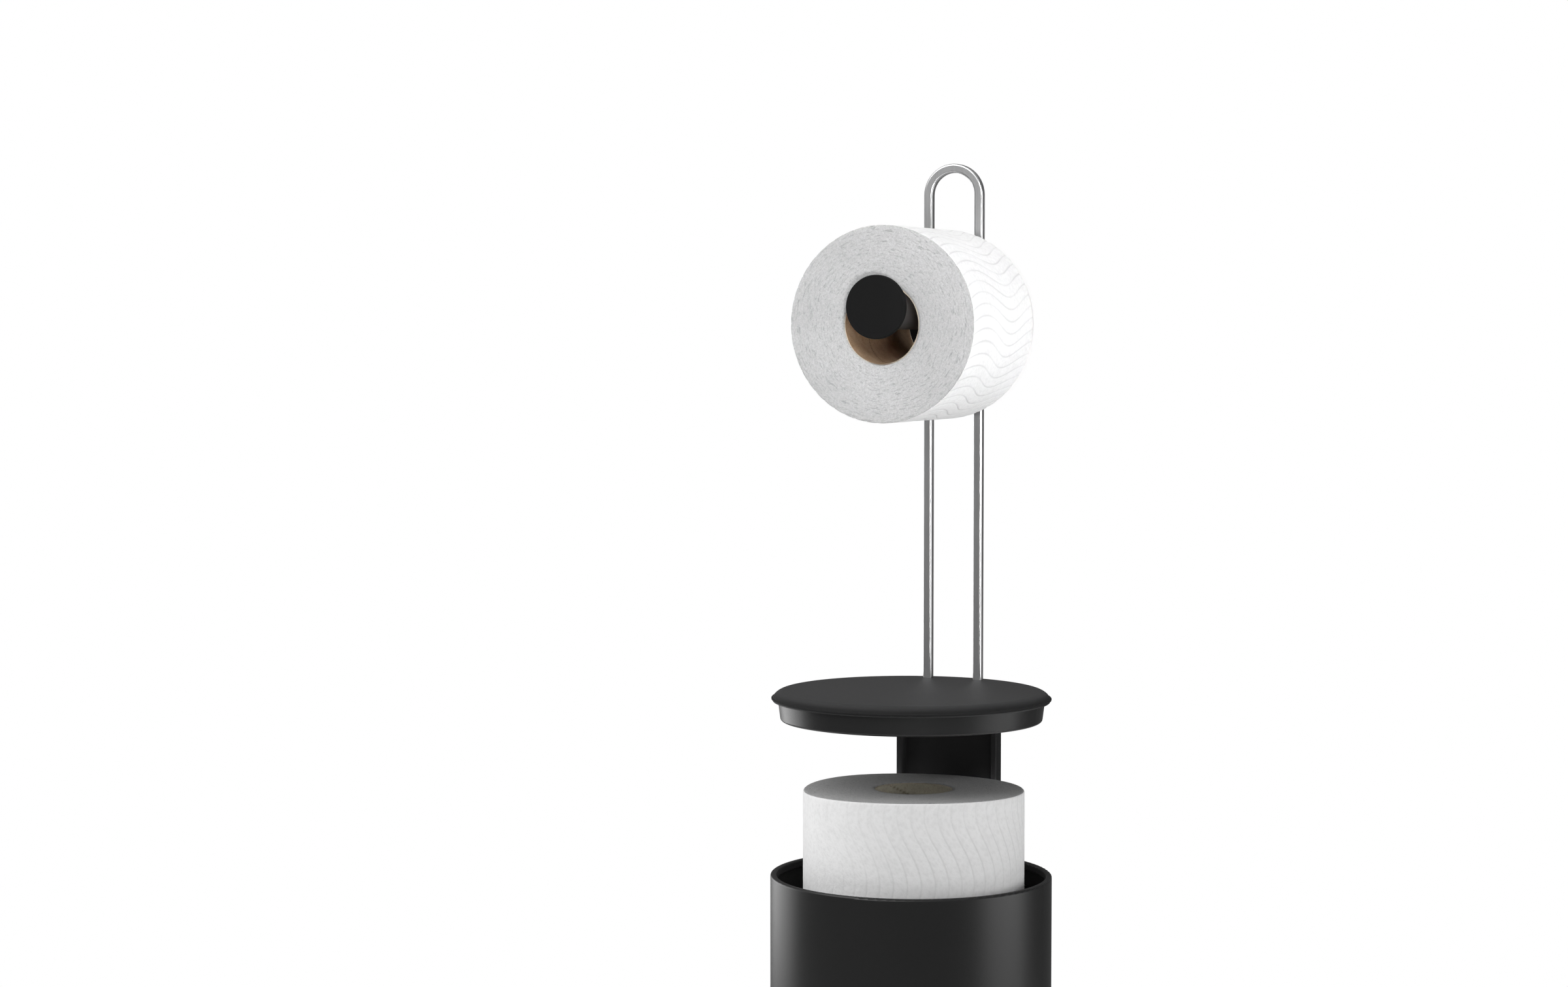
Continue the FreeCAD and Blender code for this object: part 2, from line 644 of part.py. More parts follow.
last = fillet(clamp, last, [outline(num("clamp_y"), num(z)) for z in ("clamp_z0", "clamp_z1")], "0.9", "clamp_ends")
sk = sketch(clamp, "clamp_bores_sk", "XZ_Plane", "-1*clamp_y - 1")
for x, z in CLAMP:
    circle(sk, x, z, "3.1")
pocket(clamp, sk, "2.6", "clamp_bores", True)
sk = sketch(clamp, "clamp_holes_sk", "XZ_Plane", "-1*clamp_y - 1")
for x, z in CLAMP:
    circle(sk, x, z, "1.62")
pocket(clamp, sk, "9", "clamp_holes", True)
compound("clamp_screws", [screw("clamp_screw%d" % i, (x, "clamp_y - 1.6", z), "-Y", "1.45", "5.6", "2.8", "1.5", "1.2") for i, (x, z) in enumerate(CLAMP)])
compound("spine_screws", [screw("spine_screw%d" % i, (x, y, "plug_z + plug_th"), "-Z", "1.95", "11", "3.5", "2.2", "1.5") for i, (x, y) in enumerate(SPINE)])

# ---------------------------------------------------------------- tray
tray = turned(
    "lift_tray",
    [
        ("0", "tray_z"),
        ("tray_rad - 0.5", "tray_z"),
        ("tray_rad", "tray_z + 0.5"),
        ("tray_rad", "tray_z + tray_th + tray_rim - 0.6"),
        ("tray_rad - 0.6", "tray_z + tray_th + tray_rim"),
        ("tray_rad - 1.4", "tray_z + tray_th + tray_rim"),
        ("tray_rad - 2", "tray_z + tray_th + tray_rim - 0.6"),
        ("tray_rad - 2", "tray_z + tray_th"),
        ("0", "tray_z + tray_th"),
    ],
)
for side, s in (("right", 1), ("left", -1)):
    sk = sketch(tray, side + "_notch_sk", "XY_Plane", "tray_z - 1")
    if s > 0:
        polygon(sk, [("rail_in - 0.5", "rail_y0 - 0.6"), ("tray_rad + 6", "rail_y0 - 0.6"), ("tray_rad + 6", "tray_rad + 6"), ("rail_in - 0.5", "tray_rad + 6")])
    else:
        polygon(sk, [("0.5 - rail_in", "rail_y0 - 0.6"), ("0.5 - rail_in", "tray_rad + 6"), ("-1*tray_rad - 6", "tray_rad + 6"), ("-1*tray_rad - 6", "rail_y0 - 0.6")])
    pocket(tray, sk, "tray_th + tray_rim + 3", side + "_notch", True)
sk = sketch(tray, "heel_sk", "XY_Plane", "tray_z + tray_th")
polygon(sk, [("0.5 - rail_in", "spine_y0 - 0.2"), ("rail_in - 0.5", "spine_y0 - 0.2"), ("rail_in - 0.5", "tray_rad + 6"), ("0.5 - rail_in", "tray_rad + 6")])
pocket(tray, sk, "tray_rim + 3", "heel", True)
holes(tray, "tray_bores", "tray_z - 1", "2.6", SPINE, "3.9")
holes(tray, "tray_holes", "tray_z - 1", "6", SPINE, "2.1")
compound("tray_screws", [screw("tray_screw%d" % i, (x, y, "tray_z + 1.6"), "Z", "1.95", "11", "3.5", "1.5", "1.5") for i, (x, y) in enumerate(SPINE)])

mat = body("tray_mat")
sk = sketch(mat, "mat_sk", "XY_Plane", "tray_z + tray_th")
circle(sk, "0", "0", "tray_rad - 4")
pad(mat, sk, "mat_th", "mat_pad")
sk = sketch(mat, "mat_cut_sk", "XY_Plane", "tray_z + tray_th - 1")
polygon(sk, [("-1*tray_rad", "rail_y0 - 2"), ("tray_rad", "rail_y0 - 2"), ("tray_rad", "tray_rad"), ("-1*tray_rad", "tray_rad")])
pocket(mat, sk, "mat_th + 3", "mat_cut", True)

felt_out = cylinder("felt_out", "bump_rad", "5", ("0", "0", "tray_z - 0.6"))
felt_in = cylinder("felt_in", "tray_rad + 0.02", "9", ("0", "0", "tray_z - 2"))
felt_ring = boolean("Cut", "felt_ring", felt_out, felt_in)
felt_gap = box("felt_gap", "-1*bump_rad - 2", "bump_rad + 2", "rail_y0 - 1.5", "bump_rad + 2", "tray_z - 3", "tray_z + 8")
compound("tray_felt_edge", [boolean("Cut", "felt_edge", felt_ring, felt_gap)])

shoes = []
for side, s in (("r", 1), ("l", -1)):
    if s > 0:
        plate = box("shoe_plate_" + side, "spine_half", "rail_in - 0.3", "spine_y0 + 0.2", "spine_y1 - 0.2", "shoe_z0", "shoe_z1")
        tongue = box("shoe_tongue_" + side, "rail_in - 1", "rail_in + slot_deep - 0.4", "slot_y0 + 0.3", "slot_y1 - 0.3", "shoe_z0", "shoe_z1 - 0.01")
    else:
        plate = box("shoe_plate_" + side, "0.3 - rail_in", "-1*spine_half", "spine_y0 + 0.2", "spine_y1 - 0.2", "shoe_z0", "shoe_z1")
        tongue = box("shoe_tongue_" + side, "0.4 - rail_in - slot_deep", "1 - rail_in", "slot_y0 + 0.3", "slot_y1 - 0.3", "shoe_z0", "shoe_z1 - 0.01")
    shoes.append(boolean("Fuse", "shoe_" + side, plate, tongue))
compound("glide_shoes", shoes)

# ---------------------------------------------------------------- roll arm
# Local +Z of these bodies is the front of the stand.
FRONT = Rotation(Vector(1, 0, 0), 90)


def bound(obj, x, y, z, turn):
    """Places an object, each coordinate bound to the sheet."""
    obj.Placement = Placement(Vector(num(x), num(y), num(z)), turn)
    for letter, text in zip("xyz", (x, y, z)):
        obj.setExpression(".Placement.Base.%s" % letter, fc(text))
    return obj


def ahead():
    return Placement(Vector(0, 0, num("arm_z")), FRONT)


# local height along the arm: 0 at the axis of the canister, positive to the front
arm = turned(
    "roll_arm",
    [
        ("arm_rad", "0.05 - arm_back"),
        ("arm_rad", "-1*arm_front"),
        ("arm_rad - arm_wall", "-1*arm_front"),
        ("arm_rad - arm_wall", "0.05 - arm_back"),
    ],
    [],
    ahead(),
)
cap = turned(
    "arm_end_cap",
    [
        ("2.45", "-1*arm_front - 9"),
        ("arm_rad - arm_wall - 0.05", "-1*arm_front - 9"),
        ("arm_rad - arm_wall - 0.05", "-1*arm_front"),
        ("cap_rad", "-1*arm_front"),
        ("cap_rad", "cap_th - arm_front"),
        ("0", "cap_th - arm_front"),
        ("0", "0.2 - arm_front"),
        ("2.45", "0.2 - arm_front"),
    ],
    [([("cap_rad", "cap_th - arm_front")], "0.9"), ([("cap_rad", "-1*arm_front")], "0.8")],
    ahead(),
)

front = body("arm_bracket_front", ahead())
sk = sketch(front, "front_plate_sk", "XY_Plane", "-1*leg_y + 0.05")
circle(sk, "0", "0", "plate_rad")
last = pad(front, sk, "leg_y - 0.05 - arm_back", "front_plate")
last = fillet(front, last, [ring_edge(num("plate_rad"), -num("arm_back"))], "1.0", "front_round")
sk = sketch(front, "spigot_sk", "XY_Plane", "-1*arm_back - 0.5")
circle(sk, "0", "0", "arm_rad - arm_wall - 0.05")
pad(front, sk, "14.5", "spigot")
for side, s in (("right", ""), ("left", "-1*")):
    sk = sketch(front, side + "_groove_sk", "XY_Plane", "-1*leg_y - 1")
    mid = s + "leg_x"
    polygon(sk, [(mid + " - 0.5*rod_side - 0.06", "-1*plate_rad - 2"), (mid + " + 0.5*rod_side + 0.06", "-1*plate_rad - 2"), (mid + " + 0.5*rod_side + 0.06", "plate_rad + 2"), (mid + " - 0.5*rod_side - 0.06", "plate_rad + 2")])
    pocket(front, sk, "1 + 0.5*rod_side + 0.06", side + "_groove", True)
sk = sketch(front, "rod_hole_sk", "XY_Plane", "-1*leg_y - 1")
circle(sk, "0", "0", "2.7")
pocket(front, sk, "40", "rod_hole", True)
BRK = [("0", "15"), ("0", "-15")]
sk = sketch(front, "front_taps_sk", "XY_Plane", "-1*leg_y - 1")
for x, y in BRK:
    circle(sk, x, y, "1.48")
pocket(front, sk, "5.6", "front_taps", True)

rear = body("arm_bracket_rear", ahead())
sk = sketch(rear, "rear_plate_sk", "XY_Plane", "-1*brk_back")
circle(sk, "0", "0", "brk_rad")
last = pad(rear, sk, "brk_back - leg_y - 0.05", "rear_plate")
last = fillet(rear, last, [ring_edge(num("brk_rad"), -num("brk_back"))], "1.8", "rear_round")
for side, s in (("right", ""), ("left", "-1*")):
    sk = sketch(rear, side + "_groove_sk", "XY_Plane", "-1*leg_y - 0.5*rod_side - 0.06")
    mid = s + "leg_x"
    polygon(sk, [(mid + " - 0.5*rod_side - 0.06", "-1*brk_rad - 2"), (mid + " + 0.5*rod_side + 0.06", "-1*brk_rad - 2"), (mid + " + 0.5*rod_side + 0.06", "brk_rad + 2"), (mid + " - 0.5*rod_side - 0.06", "brk_rad + 2")])
    pocket(rear, sk, "0.5*rod_side + 2", side + "_groove", True)
for name, places, r, deep in (("rear_bore", [("0", "0")], "4.6", "3.4"), ("rear_hole", [("0", "0")], "2.7", "12"), ("rear_screw_bores", BRK, "3.1", "2.7"), ("rear_screw_holes", BRK, "1.62", "12")):
    sk = sketch(rear, name + "_sk", "XY_Plane", "-1*brk_back - 1")
    for x, y in places:
        circle(sk, x, y, r)
    pocket(rear, sk, deep, name, True)

compound("arm_tie_rod", [screw("tie_rod", ("0", "brk_back - 2.4", "arm_z"), "-Y", "2.4", "brk_back - 2.4 - arm_front - 1", "4.4", "2.2", "2")])
compound("bracket_screws", [screw("bracket_screw%d" % i, (x, "brk_back - 1.7", "arm_z + " + z), "-Y", "1.45", "8", "2.8", "1.5", "1.2") for i, (x, z) in enumerate([("0", "15"), ("0", "-15")])])

# the arm's pieces stand at its height
for piece in (arm, cap, front, rear):
    bound(piece, "0", "0", "arm_z", FRONT)

# ---------------------------------------------------------------- paper rolls
def roll(label, radius, x, y, z, turn):
    core = turned(
        label + "_core",
        [("core_in", "0.3"), ("core_out", "0.3"), ("core_out", "roll_w - 0.3"), ("core_in", "roll_w - 0.3")],
    )
    paper = turned(
        label + "_paper",
        [("core_out + 0.03", "0"), (radius, "0"), (radius, "roll_w"), ("core_out + 0.03", "roll_w")],
        [([(radius, "0"), (radius, "roll_w")], "roll_round"), ([("core_out + 0.03", "0"), ("core_out + 0.03", "roll_w")], "0.6")],
    )
    for piece in (core, paper):
        bound(piece, x, y, z, turn)


roll("hanging_roll", "used_rad", "0", "used_y", "used_z", FRONT)
ON_MAT = "tray_z + tray_th + mat_th + 0.02"
roll("lower_roll", "full_rad", "0", "stack_y", ON_MAT, Rotation())
roll("middle_roll", "full_rad", "stack_mid", "stack_y", ON_MAT + " + roll_w + 0.02", Rotation())
roll("top_roll", "full_rad", "stack_x", "stack_y", ON_MAT + " + 2*roll_w + 0.04", Rotation())

# ---------------------------------------------------------------- check and write
doc.recompute()
for o in doc.Objects:
    if any(word in ("Invalid", "Error") for word in o.State):
        raise RuntimeError("%s failed: %s" % (o.Label, o.State))
labels = [o.Label for o in NODES]
if len(labels) != len(set(labels)):
    raise RuntimeError("two nodes share a name")
for o in NODES:
    s = o.Shape
    if s.isNull() or not s.isValid() or not s.Solids:
        raise RuntimeError("%s has no valid solid" % o.Label)
os.makedirs("parts", exist_ok=True)
for old in os.listdir("parts"):
    if old.endswith(".step"):
        os.remove(os.path.join("parts", old))
for o in NODES:
    o.Shape.exportStep(os.path.join("parts", o.Label + ".step"))
    b = o.Shape.BoundBox
    print("%-22s solids %d  volume %9.1f mm3  x %.1f..%.1f y %.1f..%.1f z %.1f..%.1f" % (o.Label, len(o.Shape.Solids), o.Shape.Volume, b.XMin, b.XMax, b.YMin, b.YMax, b.ZMin, b.ZMax))
print("nodes", len(NODES))
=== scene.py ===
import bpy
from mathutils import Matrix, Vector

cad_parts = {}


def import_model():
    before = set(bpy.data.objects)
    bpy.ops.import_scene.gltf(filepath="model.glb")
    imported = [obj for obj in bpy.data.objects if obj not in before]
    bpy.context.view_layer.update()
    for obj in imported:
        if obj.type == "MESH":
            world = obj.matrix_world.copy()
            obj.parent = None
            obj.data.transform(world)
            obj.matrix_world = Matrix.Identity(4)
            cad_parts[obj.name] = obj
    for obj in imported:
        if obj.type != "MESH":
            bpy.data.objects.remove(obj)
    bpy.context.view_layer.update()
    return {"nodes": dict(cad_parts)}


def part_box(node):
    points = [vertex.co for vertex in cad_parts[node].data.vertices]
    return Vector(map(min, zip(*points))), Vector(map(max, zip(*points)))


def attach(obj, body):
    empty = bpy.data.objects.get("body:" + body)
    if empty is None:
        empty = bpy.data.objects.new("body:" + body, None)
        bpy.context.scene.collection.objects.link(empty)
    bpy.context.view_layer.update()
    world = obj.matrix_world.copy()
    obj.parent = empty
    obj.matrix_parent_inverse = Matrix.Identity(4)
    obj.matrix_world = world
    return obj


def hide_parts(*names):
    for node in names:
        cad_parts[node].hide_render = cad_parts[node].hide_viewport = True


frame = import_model()

import math

import bpy
import numpy as np
from mathutils import Matrix, Vector

NODES = frame["nodes"]
rng = np.random.default_rng(7)


# ---------------------------------------------------------------- camera
# The camera stands 1.806 m from the canister's axis, 22 degrees round to the right of the front.
LID_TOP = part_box("lid_cover")[1].z
AZ = math.radians(22.0)
FOCAL = 4631.0
DIST = 1.806
cam_data = bpy.data.cameras.new("camera")
cam_data.sensor_fit = "HORIZONTAL"
cam_data.sensor_width = 36.0
cam_data.lens = 36.0 * FOCAL / 2400.0
cam_data.clip_start = 0.05
cam_data.clip_end = 60.0
cam = bpy.data.objects.new("camera", cam_data)
bpy.context.scene.collection.objects.link(cam)
cam.location = (math.sin(AZ) * DIST, -math.cos(AZ) * DIST, LID_TOP + 0.2163)
pitch = math.atan(252.0 / FOCAL)
yaw = math.atan(196.0 * math.cos(pitch) / FOCAL)
cam.rotation_euler = (math.pi / 2 - pitch, 0.0, AZ + yaw)
bpy.context.scene.camera = cam


# ---------------------------------------------------------------- studio
def world():
    w = bpy.data.worlds.new("studio")
    bpy.context.scene.world = w
    w.use_nodes = True
    nt = w.node_tree
    nt.nodes.clear()
    out = nt.nodes.new("ShaderNodeOutputWorld")
    mix = nt.nodes.new("ShaderNodeMixShader")
    path = nt.nodes.new("ShaderNodeLightPath")
    seen = nt.nodes.new("ShaderNodeBackground")
    seen.inputs["Color"].default_value = (1, 1, 1, 1)
    seen.inputs["Strength"].default_value = 1.0
    dome = nt.nodes.new("ShaderNodeBackground")
    coord = nt.nodes.new("ShaderNodeTexCoord")
    split = nt.nodes.new("ShaderNodeSeparateXYZ")
    ramp = nt.nodes.new("ShaderNodeValToRGB")
    ramp.color_ramp.interpolation = "EASE"
    e = ramp.color_ramp.elements
    e[0].position, e[0].color = 0.0, (0.16, 0.16, 0.16, 1)
    e[1].position, e[1].color = 1.0, (0.34, 0.34, 0.34, 1)
    mid = e.new(0.5)
    mid.color = (0.17, 0.17, 0.17, 1)
    half = nt.nodes.new("ShaderNodeMath")
    half.operation = "MULTIPLY_ADD"
    half.inputs[1].default_value = 0.5
    half.inputs[2].default_value = 0.5
    nt.links.new(coord.outputs["Generated"], split.inputs[0])
    nt.links.new(split.outputs["Z"], half.inputs[0])
    nt.links.new(half.outputs[0], ramp.inputs[0])
    nt.links.new(ramp.outputs[0], dome.inputs["Color"])
    # the studio is dimmer to the right, behind the stand
    a = AZ + math.radians(128.0)
    toward = nt.nodes.new("ShaderNodeVectorMath")
    toward.operation = "DOT_PRODUCT"
    toward.inputs[1].default_value = (math.sin(a), -math.cos(a), 0.0)
    nt.links.new(coord.outputs["Generated"], toward.inputs[0])
    dim = nt.nodes.new("ShaderNodeMapRange")
    dim.interpolation_type = "SMOOTHSTEP"
    for i, v in enumerate((0.78, 0.97, 1.0, 0.45)):
        dim.inputs[i + 1].default_value = v
    nt.links.new(toward.outputs["Value"], dim.inputs[0])
    nt.links.new(dim.outputs[0], dome.inputs["Strength"])
    nt.links.new(path.outputs["Is Camera Ray"], mix.inputs[0])
    nt.links.new(dome.outputs[0], mix.inputs[1])
    nt.links.new(seen.outputs[0], mix.inputs[2])
    nt.links.new(mix.outputs[0], out.inputs[0])


world()
bpy.context.scene.view_settings.view_transform = "Standard"
bpy.context.scene.view_settings.look = "None"


def from_camera(angle, reach, z):
    """A point round the stand, `angle` degrees to the right of the camera."""
    a = AZ + math.radians(angle)
    return Vector((math.sin(a) * reach, -math.cos(a) * reach, z))


def area(name, place, aim, wide, tall, power, spread=180.0):
    light = bpy.data.lights.new(name, "AREA")
    light.shape = "RECTANGLE"
    light.size, light.size_y = wide, tall
    light.energy = power
    light.spread = math.radians(spread)
    o = bpy.data.objects.new(name, light)
    bpy.context.scene.collection.objects.link(o)
    o.location = place
    o.rotation_euler = (Vector(aim) - Vector(place)).to_track_quat("-Z", "Y").to_euler()
    return o


# two high softboxes in front, a tall strip behind on the left, a broad low panel on the right,
# a gridded lamp on the right that reaches the upper half only, and two small ones that reach into the roll
area("soft_left", from_camera(-55, 1.55, 2.15), (0, 0, 0.5), 3.0, 2.4, 50.0)
area("soft_right", from_camera(25, 1.50, 2.20), (0, 0, 0.5), 1.2, 1.0, 0.9)
area("left_strip", from_camera(-128, 1.5, 0.37), (0, 0, 0.36), 1.2, 0.70, 6.3)
area("right_panel", from_camera(80, 1.7, 0.42), (0, 0, 0.35), 1.3, 0.8, 9.5)
area("right_grid", from_camera(72, 1.6, 0.98), (0, 0, 0.74), 0.5, 0.4, 0.16, 26.0)
area("core_grid", from_camera(10, 1.6, 1.20), (0, -0.05, 0.70), 0.6, 0.3, 0.24, 20.0)
area("low_fill", from_camera(6, 1.5, 0.42), (0, -0.05, 0.70), 0.3, 0.2, 0.145, 16.0)


# ---------------------------------------------------------------- node helpers
def material(name):
    m = bpy.data.materials.new(name)
    m.use_nodes = True
    nt = m.node_tree
    nt.nodes.clear()
    out = nt.nodes.new("ShaderNodeOutputMaterial")
    bsdf = nt.nodes.new("ShaderNodeBsdfPrincipled")
    nt.links.new(bsdf.outputs[0], out.inputs["Surface"])
    return m, nt, bsdf


def coords(nt, scale=(1, 1, 1), rotate=(0, 0, 0), source="Object"):
    t = nt.nodes.new("ShaderNodeTexCoord")
    m = nt.nodes.new("ShaderNodeMapping")
    m.inputs["Scale"].default_value = scale
    m.inputs["Rotation"].default_value = rotate
    nt.links.new(t.outputs[source], m.inputs[0])
    return m.outputs[0]


def noise(nt, vector, scale, detail=3.0, rough=0.55, distort=0.0):
    n = nt.nodes.new("ShaderNodeTexNoise")
    n.inputs["Scale"].default_value = scale
    n.inputs["Detail"].default_value = detail
    n.inputs["Roughness"].default_value = rough
    n.inputs["Distortion"].default_value = distort
    nt.links.new(vector, n.inputs["Vector"])
    return n.outputs["Fac"]


def voronoi(nt, vector, scale, feature="F1", out="Distance"):
    n = nt.nodes.new("ShaderNodeTexVoronoi")
    n.feature = feature
    n.inputs["Scale"].default_value = scale
    nt.links.new(vector, n.inputs["Vector"])
    return n.outputs[out]


def ramp(nt, fac, stops):
    r = nt.nodes.new("ShaderNodeValToRGB")
    e = r.color_ramp.elements
    for i, (p, c) in enumerate(stops):
        c = (c, c, c, 1) if isinstance(c, (int, float)) else (*c, 1)
        if i < 2:
            e[i].position, e[i].color = p, c
        else:
            e.new(p).color = c
    nt.links.new(fac, r.inputs[0])
    return r.outputs[0]


def math_node(nt, op, a, b=None, clamp=False):
    n = nt.nodes.new("ShaderNodeMath")
    n.operation = op
    n.use_clamp = clamp
    for i, v in enumerate((a, b)):
        if v is None:
            continue
        if isinstance(v, (int, float)):
            n.inputs[i].default_value = v
        else:
            nt.links.new(v, n.inputs[i])
    return n.outputs[0]


def blend_color(nt, fac, a, b, mode="MIX"):
    n = nt.nodes.new("ShaderNodeMix")
    n.data_type = "RGBA"
    n.blend_type = mode
    for socket, v in ((n.inputs[0], fac), (n.inputs[6], a), (n.inputs[7], b)):
        if isinstance(v, (int, float)):
            socket.default_value = v if socket == n.inputs[0] else (v, v, v, 1)
        elif isinstance(v, tuple):
            socket.default_value = (*v, 1)
        else:
            nt.links.new(v, socket)
    return n.outputs[2]


def bump(nt, bsdf, height, strength, distance, below=None):
    b = nt.nodes.new("ShaderNodeBump")
    b.inputs["Strength"].default_value = strength
    b.inputs["Distance"].default_value = distance
    nt.links.new(height, b.inputs["Height"])
    if below is not None:
        nt.links.new(below, b.inputs["Normal"])
    if bsdf is not None:
        nt.links.new(b.outputs[0], bsdf.inputs["Normal"])
    return b.outputs[0]


def grey(v):
    return (v, v, v * 1.02)


def white(v):
    return (v, v, v)


# ---------------------------------------------------------------- hard materials
def black_paint(name, tone=0.0125, rough=0.40, grain=1400.0, depth=0.00006, gloss=0.5, inside=None, edge=None):
    """Satin black stove enamel: fine grain in the surface, faint cloudiness in the gloss."""
    m, nt, s = material(name)
    c = coords(nt)
    cloud = noise(nt, c, 9.0, 4.0)
    fine = noise(nt, c, grain, 2.0, 0.6)
    speck = voronoi(nt, c, grain * 0.55)
    base = blend_color(nt, ramp(nt, cloud, [(0.3, 0.0), (0.7, 1.0)]), grey(tone * 0.92), grey(tone * 1.10))
    base = blend_color(nt, ramp(nt, speck, [(0.0, 0.5), (0.25, 0.0)]), base, grey(tone * 1.6))
    r = math_node(nt, "MULTIPLY_ADD", cloud, 0.07)
    r.node.inputs[2].default_value = rough - 0.035
    r2 = math_node(nt, "MULTIPLY_ADD", fine, 0.05)
    nt.links.new(r, r2.node.inputs[2])
    if inside is not None:
        # painted shade: the inner face is painted near black and duller, as the shade inside the canister, and the
        # rim's flat top is painted darker and half dull, as its shade: radius of the wall, height of the rim's
        # underside, radius of the lip, height and radius where the flat top ends
        wall, under, lip, flat, flat_reach = inside
        radius = nt.nodes.new("ShaderNodeVectorMath")
        radius.operation = "LENGTH"
        nt.links.new(coords(nt, (1, 1, 0)), radius.inputs[0])
        split = nt.nodes.new("ShaderNodeSeparateXYZ")
        nt.links.new(c, split.inputs[0])
        shaded_wall = math_node(nt, "MULTIPLY", math_node(nt, "LESS_THAN", radius.outputs["Value"], wall), math_node(nt, "LESS_THAN", split.outputs["Z"], under))
        shade_and_dull = math_node(nt, "MAXIMUM", shaded_wall, math_node(nt, "LESS_THAN", radius.outputs["Value"], lip))
        base = blend_color(nt, shade_and_dull, base, grey(tone * 0.08))
        ring = math_node(nt, "MULTIPLY", math_node(nt, "LESS_THAN", radius.outputs["Value"], flat_reach), math_node(nt, "GREATER_THAN", split.outputs["Z"], flat))
        base = blend_color(nt, ring, base, grey(tone * 0.4))
        shade_and_dull = math_node(nt, "MAXIMUM", shade_and_dull, math_node(nt, "MULTIPLY", ring, 0.5))
        r2 = math_node(nt, "ADD", r2, math_node(nt, "MULTIPLY", shade_and_dull, 0.5), clamp=True)
    if edge is not None:
        # painted shade: the rounded edge is painted darker than the flat top, as its shade, and is duller: heights
        # where that starts and is full
        painted_shade_drop = nt.nodes.new("ShaderNodeMapRange")
        painted_shade_drop.interpolation_type = "SMOOTHSTEP"
        for i, v in enumerate((edge[1], edge[0], 1.0, 0.0)):
            painted_shade_drop.inputs[i + 1].default_value = v
        split = nt.nodes.new("ShaderNodeSeparateXYZ")
        nt.links.new(c, split.inputs[0])
        nt.links.new(split.outputs["Z"], painted_shade_drop.inputs[0])
        base = blend_color(nt, painted_shade_drop.outputs[0], base, grey(tone * 0.38))
        r2 = math_node(nt, "ADD", r2, math_node(nt, "MULTIPLY", painted_shade_drop.outputs[0], 0.25), clamp=True)
    nt.links.new(base, s.inputs["Base Color"])
    nt.links.new(r2, s.inputs["Roughness"])
    s.inputs["IOR"].default_value = 1.5
    s.inputs["Specular IOR Level"].default_value = gloss
    bump(nt, s, fine, 0.35, depth)
    return m


def moulded(name, tone, rough, grain=900.0, depth=0.00008, tint=(1, 1, 1.02), gloss=0.5, shaded_flank=None):
    """Moulded plastic with a spark-eroded grain and faint flow marks."""
    m, nt, s = material(name)
    c = coords(nt)
    g = noise(nt, c, grain, 3.0, 0.65)
    v = voronoi(nt, c, grain * 0.7)
    flow = noise(nt, coords(nt, (1, 1, 0.15)), 26.0, 3.0, 0.5, 0.6)
    base = blend_color(nt, ramp(nt, flow, [(0.35, 0.0), (0.65, 1.0)]), tuple(tone * k * 0.9 for k in tint), tuple(tone * k * 1.12 for k in tint))
    r = math_node(nt, "MULTIPLY_ADD", g, 0.10)
    r.node.inputs[2].default_value = rough - 0.05
    if shaded_flank is not None:
        # painted shade: the outer side faces are painted darker than the front, as their shade
        split = nt.nodes.new("ShaderNodeSeparateXYZ")
        nt.links.new(c, split.inputs[0])
        side = math_node(nt, "GREATER_THAN", math_node(nt, "ABSOLUTE", split.outputs["X"]), shaded_flank)
        base = blend_color(nt, side, base, tuple(tone * k * 0.22 for k in tint))
    nt.links.new(base, s.inputs["Base Color"])
    nt.links.new(r, s.inputs["Roughness"])
    s.inputs["Specular IOR Level"].default_value = gloss
    h = math_node(nt, "ADD", math_node(nt, "MULTIPLY", g, 0.6), math_node(nt, "MULTIPLY", v, 0.4))
    bump(nt, s, h, 0.4, depth)
    return m


def satin_steel(name, tone=0.56, rough=0.26, along="Z", aniso=0.55):
    """Brushed stainless steel: hairlines along the piece, a few longer scratches, faint cloudiness."""
    m, nt, s = material(name)
    stretch = {"Z": (1, 1, 0.012), "Y": (1, 0.012, 1), "X": (0.012, 1, 1)}[along]
    c = coords(nt, stretch)
    hair = noise(nt, c, 4200.0, 2.0, 0.6)
    long_hair = noise(nt, coords(nt, tuple(v if v == 1 else 0.003 for v in stretch)), 1500.0, 2.0, 0.5)
    cloud = noise(nt, coords(nt), 30.0, 3.0)
    base = blend_color(nt, ramp(nt, long_hair, [(0.35, 0.0), (0.68, 1.0)]), (tone * 0.95, tone * 0.955, tone * 0.96), (tone * 1.02, tone * 1.025, tone * 1.03))
    nt.links.new(base, s.inputs["Base Color"])
    s.inputs["Metallic"].default_value = 1.0
    r = math_node(nt, "MULTIPLY_ADD", hair, 0.08)
    nt.links.new(math_node(nt, "MULTIPLY_ADD", cloud, 0.04), r.node.inputs[2])
    r.node.inputs[2].links[0].from_node.inputs[2].default_value = rough - 0.06
    nt.links.new(r, s.inputs["Roughness"])
    s.inputs["Anisotropic"].default_value = aniso
    bump(nt, s, math_node(nt, "ADD", hair, math_node(nt, "MULTIPLY", long_hair, 0.3)), 0.10, 0.00002)
    return m


def rubber(name, tone=0.03, rough=0.72):
    m, nt, s = material(name)
    c = coords(nt)
    g = noise(nt, c, 1500.0, 4.0, 0.7)
    dust = noise(nt, c, 60.0, 5.0, 0.7)
    nt.links.new(blend_color(nt, ramp(nt, dust, [(0.45, 0.0), (0.75, 1.0)]), grey(tone), grey(tone * 1.7)), s.inputs["Base Color"])
    r = math_node(nt, "MULTIPLY_ADD", g, 0.15)
    r.node.inputs[2].default_value = rough - 0.07
    nt.links.new(r, s.inputs["Roughness"])
    bump(nt, s, g, 0.5, 0.00012)
    return m


